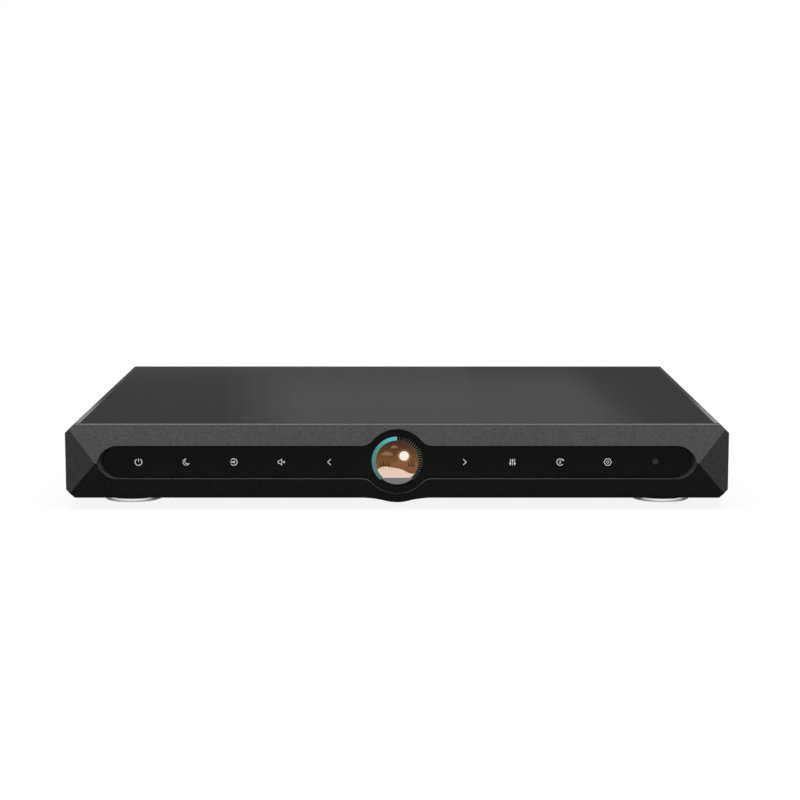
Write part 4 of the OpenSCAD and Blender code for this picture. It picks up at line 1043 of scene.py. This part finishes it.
def addMarks(name, draw, matrix, body="case"):
    # marks drawn round the origin in x and z, seen from behind, set on their face by the matrix
    mesh = bmesh.new()
    draw(mesh, -ink["sink"], ink["proud"])
    bmesh.ops.transform(mesh, matrix=matrix, verts=mesh.verts)
    addPiece(name, mesh, inkFinish, body)


# bar and ring on the rocker's two faces
rocker = {"tilt": -9.0, "faceTurn": 10.08, "pivotDepth": 1.5 * mm, "valley": 2.0 * mm, "along": 5.2 * mm,
          "bar": 3.0 * mm, "ring": 1.35 * mm}
lowRocker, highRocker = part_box("power_rocker")
pivot = ((lowRocker.x + highRocker.x) / 2, rearFace - rocker["pivotDepth"], (lowRocker.z + highRocker.z) / 2)
rockerTurn = Matrix.Translation(pivot) @ Matrix.Rotation(math.radians(rocker["tilt"]), 4, "X")


def onRocker(side):
    # middle of the upper (1) or the lower (-1) face
    valley = Matrix.Translation((0, rocker["valley"], 0))
    lean = Matrix.Rotation(math.radians(-side * rocker["faceTurn"]), 4, "X")
    return rockerTurn @ valley @ lean @ Matrix.Translation((0, 0, side * rocker["along"]))


def drawBarMark(mesh, back, front):
    reach = rocker["bar"] / 2
    stroke(mesh, (0, -reach), (0, reach), ink["line"], back, front)


def drawRingMark(mesh, back, front):
    ringArc(mesh, 0, 0, rocker["ring"], ink["line"], 0, 360, back, front)


addMarks("rockerBar", drawBarMark, onRocker(1), "power_rocker")
addMarks("rockerRing", drawRingMark, onRocker(-1), "power_rocker")

# the usual sign of a fuse on its drawer
fuseMark = {"width": 6.0 * mm, "height": 2.0 * mm, "lead": 2.0 * mm, "line": 0.315 * mm, "rise": 0.9 * mm,
            "lip": 1.4 * mm}
lowDrawer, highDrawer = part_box("fuse_drawer")
drawerSpot = ((lowDrawer.x + highDrawer.x) / 2, highDrawer.y - fuseMark["lip"],
              (lowDrawer.z + highDrawer.z) / 2 + fuseMark["rise"])


def drawFuse(mesh, back, front):
    across, up, width = fuseMark["width"] / 2, fuseMark["height"] / 2, fuseMark["line"]
    for side in (-1, 1):
        stroke(mesh, (-across, side * up), (across, side * up), width, back, front)
        stroke(mesh, (side * across, -up), (side * across, up), width, back, front)
    reach = across + fuseMark["lead"]
    stroke(mesh, (-reach, 0), (reach, 0), width, back, front)


addMarks("fuseSign", drawFuse, Matrix.Translation(drawerSpot), "fuse_drawer")

# brackets over the groups of sockets
brackets = {"rise": 3.2 * mm, "drop": 1.6 * mm, "overhang": 1.0 * mm, "line": 0.4 * mm, "groups": (
    ("left_line_shell", "right_line_shell"), ("coax_shell",), ("optical_socket",), ("usb_shells",),
    ("network_socket",))}


def drawBrackets(mesh, back, front):
    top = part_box("network_socket")[1].z + brackets["rise"]
    for names in brackets["groups"]:
        boxes = [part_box(name) for name in names]
        left = min(box[0].x for box in boxes) - brackets["overhang"]
        right = max(box[1].x for box in boxes) + brackets["overhang"]
        stroke(mesh, (left, top), (right, top), brackets["line"], back, front)
        for x in (left, right):
            stroke(mesh, (x, top), (x, top - brackets["drop"]), brackets["line"], back, front)


addMarks("socketBrackets", drawBrackets, Matrix.Translation((0, rearFace, 0)))
print("rear marks printed")


# contacts under the USB tongues
contacts = {"places": (-3.5 * mm, -1.0 * mm, 1.0 * mm, 3.5 * mm), "width": 1.1 * mm, "length": 6.4 * mm,
            "thick": 0.12 * mm, "setback": 0.4 * mm, "underTop": 3.3 * mm}
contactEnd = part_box("usb_tongues")[1].y - contacts["setback"]
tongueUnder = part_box("usb_shells")[1].z - contacts["underTop"]
mesh = bmesh.new()
for low, high in solidBoxes("usb_shells"):
    for across in contacts["places"]:
        left = (low.x + high.x) / 2 + across - contacts["width"] / 2
        block(mesh, (left, contactEnd - contacts["length"], tongueUnder - contacts["thick"]),
              (left + contacts["width"], contactEnd, tongueUnder + contacts["thick"]))
addPiece("usbContacts", mesh, finishes["jack_gold"])

# signal windows in the upper corners of the network socket
signals = {"width": 2.6 * mm, "height": 1.1 * mm, "inset": 0.7 * mm, "drop": 0.45 * mm, "proud": 0.08 * mm,
           "sink": 0.3 * mm, "look": {"roughness": 0.2, "smudge": 0.1, "coat": 0.4},
           "green": srgb(96, 150, 84), "amber": srgb(200, 150, 60)}
lowSocket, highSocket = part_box("network_socket")
windowLefts = {"green": lowSocket.x + signals["inset"],
               "amber": highSocket.x - signals["inset"] - signals["width"]}
windowTop = highSocket.z - signals["drop"]
for tone, left in windowLefts.items():
    mesh = bmesh.new()
    block(mesh, (left, highSocket.y - signals["sink"], windowTop - signals["height"]),
          (left + signals["width"], highSocket.y + signals["proud"], windowTop))
    label = "signal" + tone.capitalize()
    addPiece(label, mesh, glossFinish(label, dict(signals["look"], color=signals[tone])))
print("socket details made")
